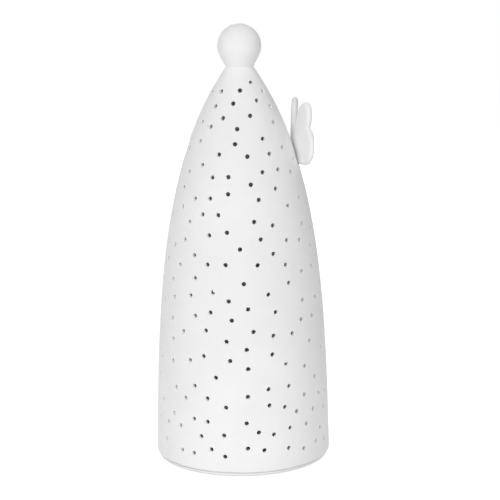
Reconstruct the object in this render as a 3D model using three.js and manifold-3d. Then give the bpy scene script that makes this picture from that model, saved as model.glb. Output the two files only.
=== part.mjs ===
// A pierced ceramic angel that stands over a battery light.
// Millimetres, +Z up. The origin is on the floor, under the middle of the base.
// The angel's front faces -Y and the wings are on its back, at +Y.

import * as THREE from 'three';
import { ConvexHull } from 'three/addons/math/ConvexHull.js';
import { mergeVertices } from 'three/addons/utils/BufferGeometryUtils.js';
import Module from 'manifold-3d';

// Fits shared by all pieces
const SEAT_GAP = 0.3;
const FACET_ALLOWANCE = 0.3;

// Robe
const HEM_RADIUS = 49.5;
const ROBE_HEIGHT = 217.8;
const NECK_RADIUS = 7.6;
const FLANK_RISE = 82.9;
const FLANK_INSET = 2.1;
const SHOULDER_DROP = 53.3;
const SHOULDER_INSET = 4.2;
const ROBE_WALL = 2.2;
const HEM_CHAMFER = 0.4;
const HEM_POINTS = 48;
const NECK_POINTS = 24;

// Holes punched through the robe
const HOLE_RADIUS = 1.2;
const HOLE_SIDES = 6;
const HOLE_SPACING_ENDS = 7.5;
const HOLE_SPACING_MIDDLE = 9.7;
const HOLE_HEM_MARGIN = 8.5;
const HOLE_NECK_MARGIN = 8;
const HOLE_WING_MARGIN = 3;
const HOLE_WING_HALF_WIDTH = 15;
const HOLE_TRIES = 6000;
const HOLE_SEED = 13960;

// Head
const HEAD_RADIUS = 12.1;
const NECK_STRETCH = 2;
const HEAD_WALL = 2.2;
const SPIGOT_LENGTH = 4;
const SPIGOT_BORE_RADIUS = 2.6;

// Wings
const WING_THICKNESS = 3.6;
const WING_EDGE_ROUND = 0.9;
const WING_SWEEP = THREE.MathUtils.degToRad(14.25);
const WING_ROOT_STANDOFF = 1.1;
const WING_ROOT_REACH = 2.6;
const WING_NECK_DROP = 42.1;
const WING_UPPER_RISE = 23;
const WING_UPPER_REACH = 22.4;
const WING_WAIST_RISE = 9.4;
const WING_WAIST_REACH = 20.4;
const WING_LOWER_REACH = 26;
const WING_LOWER_DROP = 12;

// Base plate
const FOOT_PROUD = 0.8;
const FOOT_RADIUS = 4;
const FOOT_THICKNESS = 1.2;
const FOOT_COUNT = 4;
const FOOT_INSET = 9.7;
const PLATE_INSET = 1.1;
const PLATE_THICKNESS = 2.2;
const PLATE_EDGE_ROUND = 1;
const LEDGE_INSET = 1.6;
const SEAM_DEPTH = 0.5;
const COLLAR_HEIGHT = 5;
const COLLAR_WALL = 1.8;
const COLLAR_CLEARANCE = 0.5;
const PLATE_SIDES = 48;
const GRIP_COUNT = 3;
const GRIP_WIDTH = 8;
const GRIP_DEPTH = 2.4;

// Cells and their tray
const CELL_COUNT = 3;
const CELL_RADIUS = 5.25;
const CELL_LENGTH = 44.5;
const CELL_NUB_RADIUS = 1.9;
const CELL_NUB_LENGTH = 0.8;
const CELL_CRIMP = 0.4;
const RIB_THICKNESS = 0.9;
const CELL_PLAY = 0.5;
const TRAY_WALL = 1.5;
const TRAY_EAR_THICKNESS = 2;
const TRAY_BOSS_HEIGHT = 5;
const TRAY_BOSS_RADIUS = 3;
const CONTACT_THICKNESS = 0.4;
const CONTACT_WIDTH = 8;
const CONTACT_HEIGHT = 8;
const TAB_WIDTH = 2.4;
const TAB_LENGTH = 3;
const SPRING_LENGTH = 4.2;
const SPRING_BASE_RADIUS = 3.2;
const SPRING_TIP_RADIUS = 2.1;
const SPRING_WIRE_RADIUS = 0.25;
const SPRING_CURLS = 3;

// Battery door
const DOOR_THICKNESS = 1.8;
const DOOR_LEDGE = 1.2;
const DOOR_PIN_RADIUS = 0.5;
const DOOR_PIN_LENGTH = 2;
const DOOR_SNAP = 0.2;
const DOOR_SNAP_LENGTH = 5;
const SCOOP_RADIUS = 5;
const SCOOP_DEPTH = 1.2;

// Light
const BOARD_RADIUS = 15;
const BOARD_THICKNESS = 1.6;
const BOARD_POST_HEIGHT = 3;
const BOARD_POST_RADIUS = 2.5;
const BOARD_POST_INSET = 3.5;
const LED_COUNT = 3;
const LED_RADIUS = 2.5;
const LED_FLANGE_RADIUS = 2.9;
const LED_FLANGE_HEIGHT = 1;
const LED_HEIGHT = 8.6;
const LED_CIRCLE_RADIUS = 6.5;
const RESISTOR_RADIUS = 0.9;
const RESISTOR_WAIST_RADIUS = 0.75;
const RESISTOR_BULGE = 0.6;
const RESISTOR_LENGTH = 5;
const RESISTOR_CIRCLE_RADIUS = 7.6;
const DOME_CLEARANCE = 1.2;
const DOME_WALL = 1.6;
const DOME_STRAIGHT = 14;
const DOME_RING_HEIGHT = 2;
const DOME_RING_WALL = 1.2;
const DOME_SIDES = 24;
const WIRE_GATE_WIDTH = 4;
const WIRE_GATE_HEIGHT = 3;
const WIRE_GATE_BATTERY = THREE.MathUtils.degToRad(212);
const WIRE_GATE_SWITCH = THREE.MathUtils.degToRad(100);

// Switch
const SWITCH_WALL = 1.2;
const SWITCH_HEIGHT = 5.5;
const SWITCH_FLANGE_THICKNESS = 1.5;
const SWITCH_STANDOFF = 6.25;
const SWITCH_BOSS_RADIUS = 2.4;
const KNOB_LENGTH = 3;
const KNOB_WIDTH = 2.4;
const KNOB_TRAVEL = 4;
const KNOB_FOOT_HEIGHT = 1.2;
const KNOB_FOOT_MARGIN = 0.8;
const KNOB_DISH_DEPTH = 1.2;
const KNOB_DISH_MARGIN = 3;
const TERMINAL_SPACING = 6;
const TERMINAL_WIDTH = 1.6;
const TERMINAL_HEIGHT = 2.5;

// Screws and wires
const SCREW_SHANK_RADIUS = 1;
const SCREW_HEAD_RADIUS = 2;
const SCREW_CROWN_RADIUS = 1.4;
const SCREW_HEAD_HEIGHT = 1.4;
const SCREW_BITE = 3;
const PILOT_SPARE = 0.5;
const SCREW_SIDES = 8;
const WIRE_RADIUS = 0.6;
const WIRE_SIDES = 6;
const WIRE_STEPS = 16;
const WIRE_BEND = 3;
const WIRE_PAD_RADIUS = 11;

// Sizes and heights that follow from the sizes above
const PLATE_RADIUS = HEM_RADIUS - PLATE_INSET;
const PLATE_BOTTOM = FOOT_PROUD;
const PLATE_TOP = PLATE_BOTTOM + PLATE_THICKNESS;
const LEDGE_RADIUS = HEM_RADIUS - LEDGE_INSET;
const DECK_Z = PLATE_TOP + SEAT_GAP;
const HEM_Z = DECK_Z;
const NECK_Z = HEM_Z + ROBE_HEIGHT;
const HEAD_RISE = Math.sqrt(HEAD_RADIUS ** 2 - NECK_RADIUS ** 2) + NECK_STRETCH;
const HEAD_Z = NECK_Z + HEAD_RISE;
const WING_ROOT_HEIGHT = NECK_Z - WING_NECK_DROP;
const DOOR_TOP = PLATE_BOTTOM + DOOR_THICKNESS;
const CELL_Z = Math.max(DOOR_TOP, PLATE_TOP - CELL_PLAY) + CELL_PLAY + CELL_RADIUS;
const CELL_PITCH = 2 * CELL_RADIUS + 2 * SEAT_GAP + RIB_THICKNESS;
const ROOF_BOTTOM = CELL_Z + CELL_RADIUS + CELL_PLAY;
const ROOF_TOP = ROOF_BOTTOM + TRAY_WALL;
const BOARD_BOTTOM = ROOF_TOP + BOARD_POST_HEIGHT + SEAT_GAP;
const BOARD_TOP = BOARD_BOTTOM + BOARD_THICKNESS;
const DOME_INNER_RADIUS = BOARD_RADIUS + DOME_CLEARANCE;

const wasm = await Module();
wasm.setup();

// Solids and cuts
function toSolid(geometry) {
  const bare = geometry.clone();
  bare.deleteAttribute('normal');
  bare.deleteAttribute('uv');
  const merged = mergeVertices(bare, 1e-4);
  const corners = merged.index.array;
  const triangles = [];
  for (let start = 0; start < corners.length; start += 3) {
    const [a, b, c] = corners.slice(start, start + 3);
    if (a !== b && b !== c && c !== a) triangles.push(a, b, c);
  }
  return new wasm.Manifold(new wasm.Mesh({
    numProp: 3,
    vertProperties: new Float32Array(merged.attributes.position.array),
    triVerts: new Uint32Array(triangles),
  }));
}

function toGeometry(solid) {
  const mesh = solid.getMesh();
  const geometry = new THREE.BufferGeometry();
  geometry.setAttribute('position', new THREE.BufferAttribute(mesh.vertProperties, 3));
  geometry.setIndex(new THREE.BufferAttribute(mesh.triVerts, 1));
  geometry.computeVertexNormals();
  return geometry;
}

function join(first, ...others) {
  return toGeometry(others.reduce((solid, other) => solid.add(toSolid(other)), toSolid(first)));
}

function cut(first, ...cutters) {
  return toGeometry(cutters.reduce((solid, cutter) => solid.subtract(toSolid(cutter)), toSolid(first)));
}

// Basic shapes, each placed by the middle of its underside
function box(length, width, height, x, y, z) {
  return new THREE.BoxGeometry(length, width, height).translate(x, y, z + height / 2);
}

function post(radius, height, x, y, z, sides = 16) {
  return new THREE.CylinderGeometry(radius, radius, height, sides)
    .rotateX(Math.PI / 2)
    .translate(x, y, z + height / 2);
}

// A turned shape: points are [radius, height], counter-clockwise round the section
function turned(points, sides) {
  const profile = points.map(([radius, height]) => new THREE.Vector2(Math.max(radius, 0), height));
  return new THREE.LatheGeometry(profile, sides).rotateX(Math.PI / 2);
}

function arc(centreRadius, centreZ, radius, fromAngle, toAngle, steps) {
  return Array.from({ length: steps + 1 }, (_, step) => {
    const angle = fromAngle + (toAngle - fromAngle) * step / steps;
    return [centreRadius + radius * Math.cos(angle), centreZ + radius * Math.sin(angle)];
  });
}

// Points spread evenly round a circle about the Z axis
function around(count, radius, startAngle = 0) {
  return Array.from({ length: count }, (_, index) => {
    const angle = startAngle + 2 * Math.PI * index / count;
    return { angle, x: radius * Math.cos(angle), y: radius * Math.sin(angle) };
  });
}

function tube(curve, radius, sides, steps) {
  const section = new THREE.Shape();
  around(sides, radius).forEach(({ x, y }, index) => (index ? section.lineTo(x, y) : section.moveTo(x, y)));
  return new THREE.ExtrudeGeometry(section, { steps, extrudePath: curve });
}

// Finishes
function finish(color, roughness, metalness = 0) {
  return new THREE.MeshStandardMaterial({ color, roughness, metalness });
}

const bisque = finish(0xf1f0ee, 0.75);
const whitePlastic = finish(0xeeeeec, 0.5);
const silicone = finish(0xdfe3e4, 0.6);
const darkPlastic = finish(0x2b2c2e, 0.5);
const steel = finish(0xb9bcc0, 0.3, 1);
const nickel = finish(0xcfcac0, 0.28, 1);
const cellSleeve = finish(0x4f7a5a, 0.4);
const circuitBoard = finish(0xe9eae6, 0.5);
const clearEpoxy = finish(0xfff3d6, 0.1);
const resistorBody = finish(0xcbb892, 0.5);
const opal = finish(0xf6f4ee, 0.55);
const redPvc = finish(0xb3261e, 0.45);
const blackPvc = finish(0x1c1c1e, 0.45);

const angel = new THREE.Group();

function place(parent, name, geometry, material, position = [0, 0, 0], turn = [0, 0, 0]) {
  const mesh = new THREE.Mesh(geometry, material);
  mesh.name = name;
  mesh.position.set(...position);
  mesh.rotation.set(...turn);
  parent.add(mesh);
}

// Robe profile: one curve from hem to neck, asked for its radius at a height
const robeCurve = new THREE.CubicBezierCurve(
  new THREE.Vector2(HEM_RADIUS, HEM_Z),
  new THREE.Vector2(HEM_RADIUS - FLANK_INSET, HEM_Z + FLANK_RISE),
  new THREE.Vector2(HEM_RADIUS - SHOULDER_INSET, NECK_Z - SHOULDER_DROP),
  new THREE.Vector2(NECK_RADIUS, NECK_Z),
);

function robeAt(z) {
  let low = 0;
  let high = 1;
  for (let step = 0; step < 40; step++) {
    const middle = (low + high) / 2;
    if (robeCurve.getPoint(middle).y < z) low = middle;
    else high = middle;
  }
  const tangent = robeCurve.getTangent(low);
  const radius = robeCurve.getPoint(low).x;
  const steepness = 1 / tangent.y;
  return { radius, steepness, inner: radius - ROBE_WALL * steepness };
}

// The same hand-punched scatter each time: darts that land too near an earlier hole are dropped
function seededRandom(seed) {
  let state = seed;
  return () => {
    state = (state * 1664525 + 1013904223) % 2 ** 32;
    return state / 2 ** 32;
  };
}

function underWing(position) {
  const low = WING_ROOT_HEIGHT - WING_LOWER_DROP - HOLE_WING_MARGIN;
  const high = WING_ROOT_HEIGHT + HOLE_WING_MARGIN;
  const behind = position.y > 0 && Math.abs(position.x) < HOLE_WING_HALF_WIDTH;
  return behind && position.z > low && position.z < high;
}

function scatterHoles() {
  const random = seededRandom(HOLE_SEED);
  const lowest = HEM_Z + HOLE_HEM_MARGIN;
  const highest = NECK_Z - HOLE_NECK_MARGIN;
  const holes = [];
  for (let dart = 0; dart < HOLE_TRIES; dart++) {
    const z = lowest + (highest - lowest) * random();
    const bearing = 2 * Math.PI * random();
    const { radius } = robeAt(z);
    if (random() * HEM_RADIUS > radius) continue;
    const position = new THREE.Vector3(radius * Math.cos(bearing), radius * Math.sin(bearing), z);
    const share = (z - HEM_Z) / ROBE_HEIGHT;
    const swell = Math.sin(Math.PI * share);
    const spacing = HOLE_SPACING_ENDS + (HOLE_SPACING_MIDDLE - HOLE_SPACING_ENDS) * swell;
    if (underWing(position)) continue;
    if (holes.some((hole) => hole.position.distanceTo(position) < spacing)) continue;
    holes.push({ position, bearing, z });
  }
  return holes;
}

// The robe's wall is triangulated from its rims alone: the hem, the neck and every hole.
// Each rim point goes to a sphere by a map that keeps small circles round, and the convex hull of
// points on a sphere is their Delaunay triangulation.
function climbTable(steps) {
  const climbs = [0];
  for (let step = 1; step <= steps; step++) {
    const { radius, steepness } = robeAt(HEM_Z + ROBE_HEIGHT * (step - 0.5) / steps);
    climbs.push(climbs[step - 1] + ROBE_HEIGHT / steps * steepness / radius);
  }
  return (z) => {
    const place = THREE.MathUtils.clamp((z - HEM_Z) / ROBE_HEIGHT, 0, 1) * steps;
    const step = Math.min(Math.floor(place), steps - 1);
    return climbs[step] + (place - step) * (climbs[step + 1] - climbs[step]) - climbs[steps] / 2;
  };
}

function hullTriangles(rimPoints) {
  const climbAt = climbTable(400);
  const onSphere = rimPoints.map(({ bearing, z }) => {
    const latitude = 2 * Math.atan(Math.exp(climbAt(z))) - Math.PI / 2;
    const ring = Math.cos(latitude);
    return new THREE.Vector3(ring * Math.cos(bearing), ring * Math.sin(bearing), Math.sin(latitude));
  });
  const indexOf = new Map(onSphere.map((point, index) => [point, index]));
  return new ConvexHull().setFromPoints(onSphere).faces
    .map(({ edge }) => [edge, edge.next, edge.next.next].map((side) => indexOf.get(side.head().point)))
    .filter(([a, b, c]) => rimPoints[a].rim !== rimPoints[b].rim || rimPoints[b].rim !== rimPoints[c].rim);
}

function piercedRobe() {
  const points = [];
  const addRim = (ring) => {
    const rim = points.length;
    ring.forEach(({ bearing, z }) => points.push({ rim, bearing, z }));
    return { start: rim, count: ring.length };
  };
  const level = (count, z) => around(count, 1).map(({ angle }) => ({ bearing: angle, z }));
  const hem = addRim(level(HEM_POINTS, HEM_Z + HEM_CHAMFER));
  const neck = addRim(level(NECK_POINTS, NECK_Z));
  const holeRims = scatterHoles().map((hole) => addRim(around(HOLE_SIDES, HOLE_RADIUS).map(({ x, y }) => ({
    bearing: hole.bearing + Math.asin(x / robeAt(hole.z + y).radius),
    z: hole.z + y,
  }))));

  const vertices = [];
  const addVertex = (radius, bearing, z) => {
    vertices.push(radius * Math.cos(bearing), radius * Math.sin(bearing), z);
  };
  points.forEach(({ bearing, z }) => addVertex(robeAt(z).radius, bearing, z));
  points.forEach(({ bearing, z }) => addVertex(robeAt(z).inner, bearing, z));
  const inside = points.length;
  const sole = 2 * inside;
  const soleRadius = robeAt(HEM_Z).radius - HEM_CHAMFER;
  level(HEM_POINTS, HEM_Z).forEach(({ bearing, z }) => addVertex(soleRadius, bearing, z));

  const triangles = [];
  hullTriangles(points).forEach(([a, b, c]) => {
    triangles.push(a, b, c);
    triangles.push(inside + a, inside + c, inside + b);
  });
  const stitch = (first, second, count) => {
    for (let side = 0; side < count; side++) {
      const next = (side + 1) % count;
      triangles.push(first + side, first + next, second + next);
      triangles.push(first + side, second + next, second + side);
    }
  };
  stitch(sole, hem.start, hem.count);
  stitch(inside + hem.start, sole, hem.count);
  stitch(neck.start, inside + neck.start, neck.count);
  holeRims.forEach((rim) => stitch(rim.start, inside + rim.start, rim.count));

  const geometry = new THREE.BufferGeometry();
  geometry.setAttribute('position', new THREE.Float32BufferAttribute(vertices, 3));
  geometry.setIndex(triangles);
  geometry.computeVertexNormals();
  return geometry;
}

// The robe's solid shape swollen by the seat gap, for trimming what is luted to it
function robeClearance() {
  const steps = 24;
  const flank = Array.from({ length: steps + 1 }, (_, step) => {
    const z = HEM_Z + ROBE_HEIGHT * step / steps;
    const { radius, steepness } = robeAt(z);
    return [radius + SEAT_GAP * steepness, z];
  });
  return turned([[0, HEM_Z], ...flank, [0, NECK_Z]], 72);
}

const figure = new THREE.Group();
angel.add(figure);
place(figure, 'robe_shell', piercedRobe(), bisque);

// Head: a hollow ball that runs down to the neck in a cone, with a spigot into the robe
function headSolid() {
  const neckDistance = Math.hypot(NECK_RADIUS, HEAD_RISE - SEAT_GAP);
  const neckAngle = Math.atan2(-(HEAD_RISE - SEAT_GAP), NECK_RADIUS);
  const tangentAngle = neckAngle + Math.acos(HEAD_RADIUS / neckDistance);
  const seatZ = NECK_Z + SEAT_GAP;
  const spigotRadius = robeAt(NECK_Z).inner - SEAT_GAP;
  const cavityRadius = HEAD_RADIUS - HEAD_WALL;
  const boreAngle = -Math.acos(SPIGOT_BORE_RADIUS / cavityRadius);
  return turned([
    [SPIGOT_BORE_RADIUS, seatZ - SPIGOT_LENGTH],
    [spigotRadius, seatZ - SPIGOT_LENGTH],
    [spigotRadius, seatZ],
    [NECK_RADIUS, seatZ],
    ...arc(0, HEAD_Z, HEAD_RADIUS, tangentAngle, Math.PI / 2, 9),
    ...arc(0, HEAD_Z, cavityRadius, Math.PI / 2, boreAngle, 6),
    [SPIGOT_BORE_RADIUS, seatZ - SPIGOT_LENGTH],
  ], 24);
}

place(figure, 'head', headSolid(), bisque);

// Wings: flat two-lobed plates, trimmed to the robe and to the middle of the back
const WING_ROOT_RADIUS = robeAt(WING_ROOT_HEIGHT).radius + WING_ROOT_STANDOFF;

function wingOutline() {
  const upperMiddle = WING_UPPER_REACH * 0.78;
  const lowerMiddle = WING_LOWER_REACH * 0.57;
  const shape = new THREE.Shape();
  shape.moveTo(0, 0);
  shape.lineTo(WING_ROOT_REACH, 0);
  shape.bezierCurveTo(
    upperMiddle * 0.36, WING_UPPER_RISE * 0.53,
    upperMiddle * 0.5, WING_UPPER_RISE,
    upperMiddle, WING_UPPER_RISE,
  );
  shape.bezierCurveTo(
    WING_UPPER_REACH, WING_UPPER_RISE,
    WING_UPPER_REACH * 1.08, (WING_UPPER_RISE + WING_WAIST_RISE) / 2,
    WING_WAIST_REACH, WING_WAIST_RISE,
  );
  shape.bezierCurveTo(
    (WING_WAIST_REACH * 2 + WING_LOWER_REACH) / 3, WING_WAIST_RISE * 0.9,
    WING_LOWER_REACH, WING_WAIST_RISE * 0.55,
    WING_LOWER_REACH, 0,
  );
  shape.bezierCurveTo(
    WING_LOWER_REACH, -WING_LOWER_DROP * 0.58,
    WING_LOWER_REACH * 0.84, -WING_LOWER_DROP,
    lowerMiddle, -WING_LOWER_DROP,
  );
  shape.lineTo(0, -WING_LOWER_DROP);
  return shape;
}

function wingSolid(side) {
  const plate = new THREE.ExtrudeGeometry(wingOutline(), {
    depth: WING_THICKNESS - 2 * WING_EDGE_ROUND,
    bevelThickness: WING_EDGE_ROUND,
    bevelSize: WING_EDGE_ROUND,
    bevelOffset: -WING_EDGE_ROUND,
    bevelSegments: 2,
    curveSegments: 6,
  });
  plate.translate(0, 0, WING_EDGE_ROUND - WING_THICKNESS / 2);
  plate.rotateX(Math.PI / 2);
  plate.rotateZ(side > 0 ? WING_SWEEP : Math.PI - WING_SWEEP);
  plate.translate(0, WING_ROOT_RADIUS, WING_ROOT_HEIGHT);
  const farSide = 4 * WING_THICKNESS;
  const otherX = side * (SEAT_GAP - farSide) / 2;
  const otherHalf = box(farSide, 2 * HEM_RADIUS, ROBE_HEIGHT, otherX, WING_ROOT_RADIUS, HEM_Z);
  return cut(plate, robeClearance(), otherHalf);
}

place(figure, 'wing_right', wingSolid(1), bisque);
place(figure, 'wing_left', wingSolid(-1), bisque);

// Base plate: a disc with a ledge for the hem, which leaves a dark seam, and a collar inside it,
// bosses for what stands on it and a door opening
const base = new THREE.Group();
angel.add(base);

const COLLAR_TOP = PLATE_TOP + COLLAR_HEIGHT;
const COLLAR_OUTER = robeAt(COLLAR_TOP).inner - COLLAR_CLEARANCE - FACET_ALLOWANCE;
const COLLAR_INNER = COLLAR_OUTER - COLLAR_WALL;
const BAY_HALF_LENGTH = (CELL_LENGTH + SPRING_LENGTH + 2 * CONTACT_THICKNESS + 5 * SEAT_GAP) / 2;
const BAY_HALF_WIDTH = CELL_PITCH * (CELL_COUNT - 1) / 2 + CELL_RADIUS + CELL_PLAY;
const OPENING_HALF_LENGTH = BAY_HALF_LENGTH - DOOR_LEDGE;
const OPENING_HALF_WIDTH = BAY_HALF_WIDTH;
const HINGE_RADIUS = PLATE_THICKNESS / 2;
const HINGE_Y = SEAT_GAP + HINGE_RADIUS - OPENING_HALF_WIDTH;
const HINGE_Z = PLATE_BOTTOM + HINGE_RADIUS;
const SCREW_HOLE_RADIUS = SCREW_SHANK_RADIUS + SEAT_GAP;
const TRAY_HALF_LENGTH = BAY_HALF_LENGTH + TRAY_WALL;
const TRAY_HALF_WIDTH = BAY_HALF_WIDTH + TRAY_WALL;
const TRAY_BOSS_X = TRAY_HALF_LENGTH + 2 * SEAT_GAP + TRAY_BOSS_RADIUS;
const TRAY_BOSS_Y = TRAY_BOSS_RADIUS + SCREW_HEAD_RADIUS;
const TRAY_BOSS_TOP = PLATE_TOP + TRAY_BOSS_HEIGHT;
const EAR_BOTTOM = TRAY_BOSS_TOP + SEAT_GAP;
const KNOB_FOOT_LENGTH = KNOB_LENGTH + 2 * KNOB_FOOT_MARGIN;
const KNOB_FOOT_WIDTH = KNOB_WIDTH + 2 * KNOB_FOOT_MARGIN;
const CHANNEL_LENGTH = KNOB_FOOT_LENGTH + KNOB_TRAVEL + 2 * SEAT_GAP;
const CHANNEL_WIDTH = KNOB_FOOT_WIDTH + 2 * SEAT_GAP;
const SWITCH_LENGTH = CHANNEL_LENGTH + 2 * SWITCH_WALL;
const SWITCH_WIDTH = CHANNEL_WIDTH + 2 * SWITCH_WALL;
const SWITCH_Y = TRAY_HALF_WIDTH + SWITCH_STANDOFF + SWITCH_WIDTH / 2;
const SWITCH_TOP = DECK_Z + SWITCH_HEIGHT;
const SWITCH_BOSS_TOP = SWITCH_TOP - SWITCH_FLANGE_THICKNESS - SEAT_GAP;
const SWITCH_BOSS_X = SWITCH_LENGTH / 2 + 2 * SEAT_GAP + SWITCH_BOSS_RADIUS;
const KNOB_SLOT_LENGTH = KNOB_LENGTH + KNOB_TRAVEL + 2 * SEAT_GAP;
const KNOB_SLOT_WIDTH = KNOB_WIDTH + 2 * SEAT_GAP;

const feet = around(FOOT_COUNT, PLATE_RADIUS - FOOT_INSET, Math.PI / FOOT_COUNT);
const trayBosses = [[1, 1], [-1, 1], [-1, -1], [1, -1]]
  .map(([sideX, sideY]) => ({ x: sideX * TRAY_BOSS_X, y: sideY * TRAY_BOSS_Y }));
const switchBosses = [1, -1].map((side) => ({ x: side * SWITCH_BOSS_X, y: SWITCH_Y }));

function alongX(radius, halfLength, y, z, sides = 14) {
  return new THREE.CylinderGeometry(radius, radius, 2 * halfLength, sides)
    .rotateZ(Math.PI / 2)
    .translate(0, y, z);
}

// A blind hole for a screw, from the top of its boss to a little past the screw's tip
function pilot(x, y, bossTop) {
  const depth = SCREW_BITE + PILOT_SPARE;
  return post(SCREW_HOLE_RADIUS, 2 * depth, x, y, bossTop - depth, SCREW_SIDES);
}

function gripBlock(width, fromRadius, toRadius, bottom, top, angle) {
  const middle = (fromRadius + toRadius) / 2;
  return box(toRadius - fromRadius, width, top - bottom, middle, 0, bottom).rotateZ(angle);
}

function basePlate() {
  const edgeZ = PLATE_BOTTOM + PLATE_EDGE_ROUND;
  const disc = turned([
    [0, PLATE_BOTTOM],
    ...arc(PLATE_RADIUS - PLATE_EDGE_ROUND, edgeZ, PLATE_EDGE_ROUND, -Math.PI / 2, 0, 3),
    [PLATE_RADIUS, PLATE_TOP - SEAM_DEPTH],
    [LEDGE_RADIUS, PLATE_TOP - SEAM_DEPTH],
    [LEDGE_RADIUS, PLATE_TOP],
    [COLLAR_OUTER, PLATE_TOP],
    [COLLAR_OUTER, COLLAR_TOP],
    [COLLAR_INNER, COLLAR_TOP],
    [COLLAR_INNER, PLATE_TOP],
    [0, PLATE_TOP],
  ], PLATE_SIDES);
  const rooted = PLATE_BOTTOM + PLATE_THICKNESS / 2;
  const bosses = [
    ...trayBosses.map(({ x, y }) => post(TRAY_BOSS_RADIUS, TRAY_BOSS_TOP - rooted, x, y, rooted)),
    ...switchBosses.map(({ x, y }) => post(SWITCH_BOSS_RADIUS, SWITCH_BOSS_TOP - rooted, x, y, rooted)),
  ];
  const pilots = [
    ...trayBosses.map(({ x, y }) => pilot(x, y, TRAY_BOSS_TOP)),
    ...switchBosses.map(({ x, y }) => pilot(x, y, SWITCH_BOSS_TOP)),
  ];
  const footDepth = FOOT_THICKNESS + SEAT_GAP;
  const footPockets = feet.map(({ x, y }) => post(FOOT_RADIUS + SEAT_GAP, footDepth, x, y, 0));
  const notches = around(GRIP_COUNT, 1).map(({ angle }) => gripBlock(
    GRIP_WIDTH + 2 * SEAT_GAP,
    COLLAR_INNER - COLLAR_WALL,
    COLLAR_OUTER + COLLAR_WALL,
    DECK_Z,
    COLLAR_TOP + COLLAR_WALL,
    angle,
  ));
  const dish = {
    length: KNOB_SLOT_LENGTH + 2 * KNOB_DISH_MARGIN,
    width: KNOB_SLOT_WIDTH + 2 * KNOB_DISH_MARGIN,
  };
  return cut(
    join(disc, ...bosses),
    ...pilots,
    ...footPockets,
    ...notches,
    box(2 * OPENING_HALF_LENGTH, 2 * OPENING_HALF_WIDTH, 2 * PLATE_TOP, 0, 0, -PLATE_BOTTOM),
    alongX(DOOR_PIN_RADIUS + SEAT_GAP, OPENING_HALF_LENGTH + DOOR_PIN_LENGTH, HINGE_Y, HINGE_Z),
    box(KNOB_SLOT_LENGTH, KNOB_SLOT_WIDTH, 2 * PLATE_TOP, 0, SWITCH_Y, -PLATE_BOTTOM),
    box(dish.length, dish.width, PLATE_BOTTOM + KNOB_DISH_DEPTH, 0, SWITCH_Y, 0),
    post(SCOOP_RADIUS, PLATE_BOTTOM + SCOOP_DEPTH, 0, OPENING_HALF_WIDTH, 0),
  );
}

place(base, 'base_plate', basePlate(), whitePlastic);

feet.forEach(({ x, y }, index) => {
  place(base, `foot_pad_${index + 1}`, post(FOOT_RADIUS, FOOT_THICKNESS, 0, 0, 0), silicone, [x, y, 0]);
});

// Grip pads: silicone blocks in the collar's notches, square to the robe's wall
const GRIP_FACE = Math.sqrt((robeAt(COLLAR_TOP).inner - FACET_ALLOWANCE) ** 2 - (GRIP_WIDTH / 2) ** 2);
const GRIP_BOTTOM = DECK_Z + SEAT_GAP;
around(GRIP_COUNT, GRIP_FACE - GRIP_DEPTH / 2).forEach(({ x, y, angle }, index) => {
  const pad = new THREE.BoxGeometry(GRIP_DEPTH, GRIP_WIDTH, COLLAR_TOP - GRIP_BOTTOM);
  place(base, `grip_pad_${index + 1}`, pad, silicone, [x, y, (GRIP_BOTTOM + COLLAR_TOP) / 2], [0, 0, angle]);
});

// Screws: pan heads, placed by the face that the head bears on
function placeScrew(name, { x, y }, clampedTop, clampedThickness) {
  const tip = -clampedThickness - 2 * SEAT_GAP - SCREW_BITE;
  const screw = turned([
    [0, tip],
    [SCREW_SHANK_RADIUS, tip + SCREW_SHANK_RADIUS],
    [SCREW_SHANK_RADIUS, 0],
    [SCREW_HEAD_RADIUS, 0],
    [SCREW_HEAD_RADIUS, SCREW_HEAD_HEIGHT / 2],
    [SCREW_CROWN_RADIUS, SCREW_HEAD_HEIGHT],
    [0, SCREW_HEAD_HEIGHT],
  ], SCREW_SIDES);
  place(base, name, screw, steel, [x, y, clampedTop + SEAT_GAP]);
}

// Battery tray: a box over the door opening, with ears on the bosses and the light's seat on its roof
const BOARD_POSTS = [1, -1].map((side) => ({ x: side * (BOARD_RADIUS - BOARD_POST_INSET), y: 0 }));
const TAB_BOTTOM = CELL_Z + CONTACT_HEIGHT / 2 - CONTACT_THICKNESS;
const TERMINALS = {
  positive: { side: CELL_COUNT % 2 ? 1 : -1, y: CELL_PITCH * (CELL_COUNT - 1) / 2 },
  negative: { side: -1, y: -CELL_PITCH * (CELL_COUNT - 1) / 2 },
};

function wireGate(bearing) {
  const reach = DOME_INNER_RADIUS + 2 * DOME_WALL;
  const height = SEAT_GAP + WIRE_GATE_HEIGHT;
  return box(reach / 2, WIRE_GATE_WIDTH, height, reach * 0.75, 0, ROOF_TOP).rotateZ(bearing);
}

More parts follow.
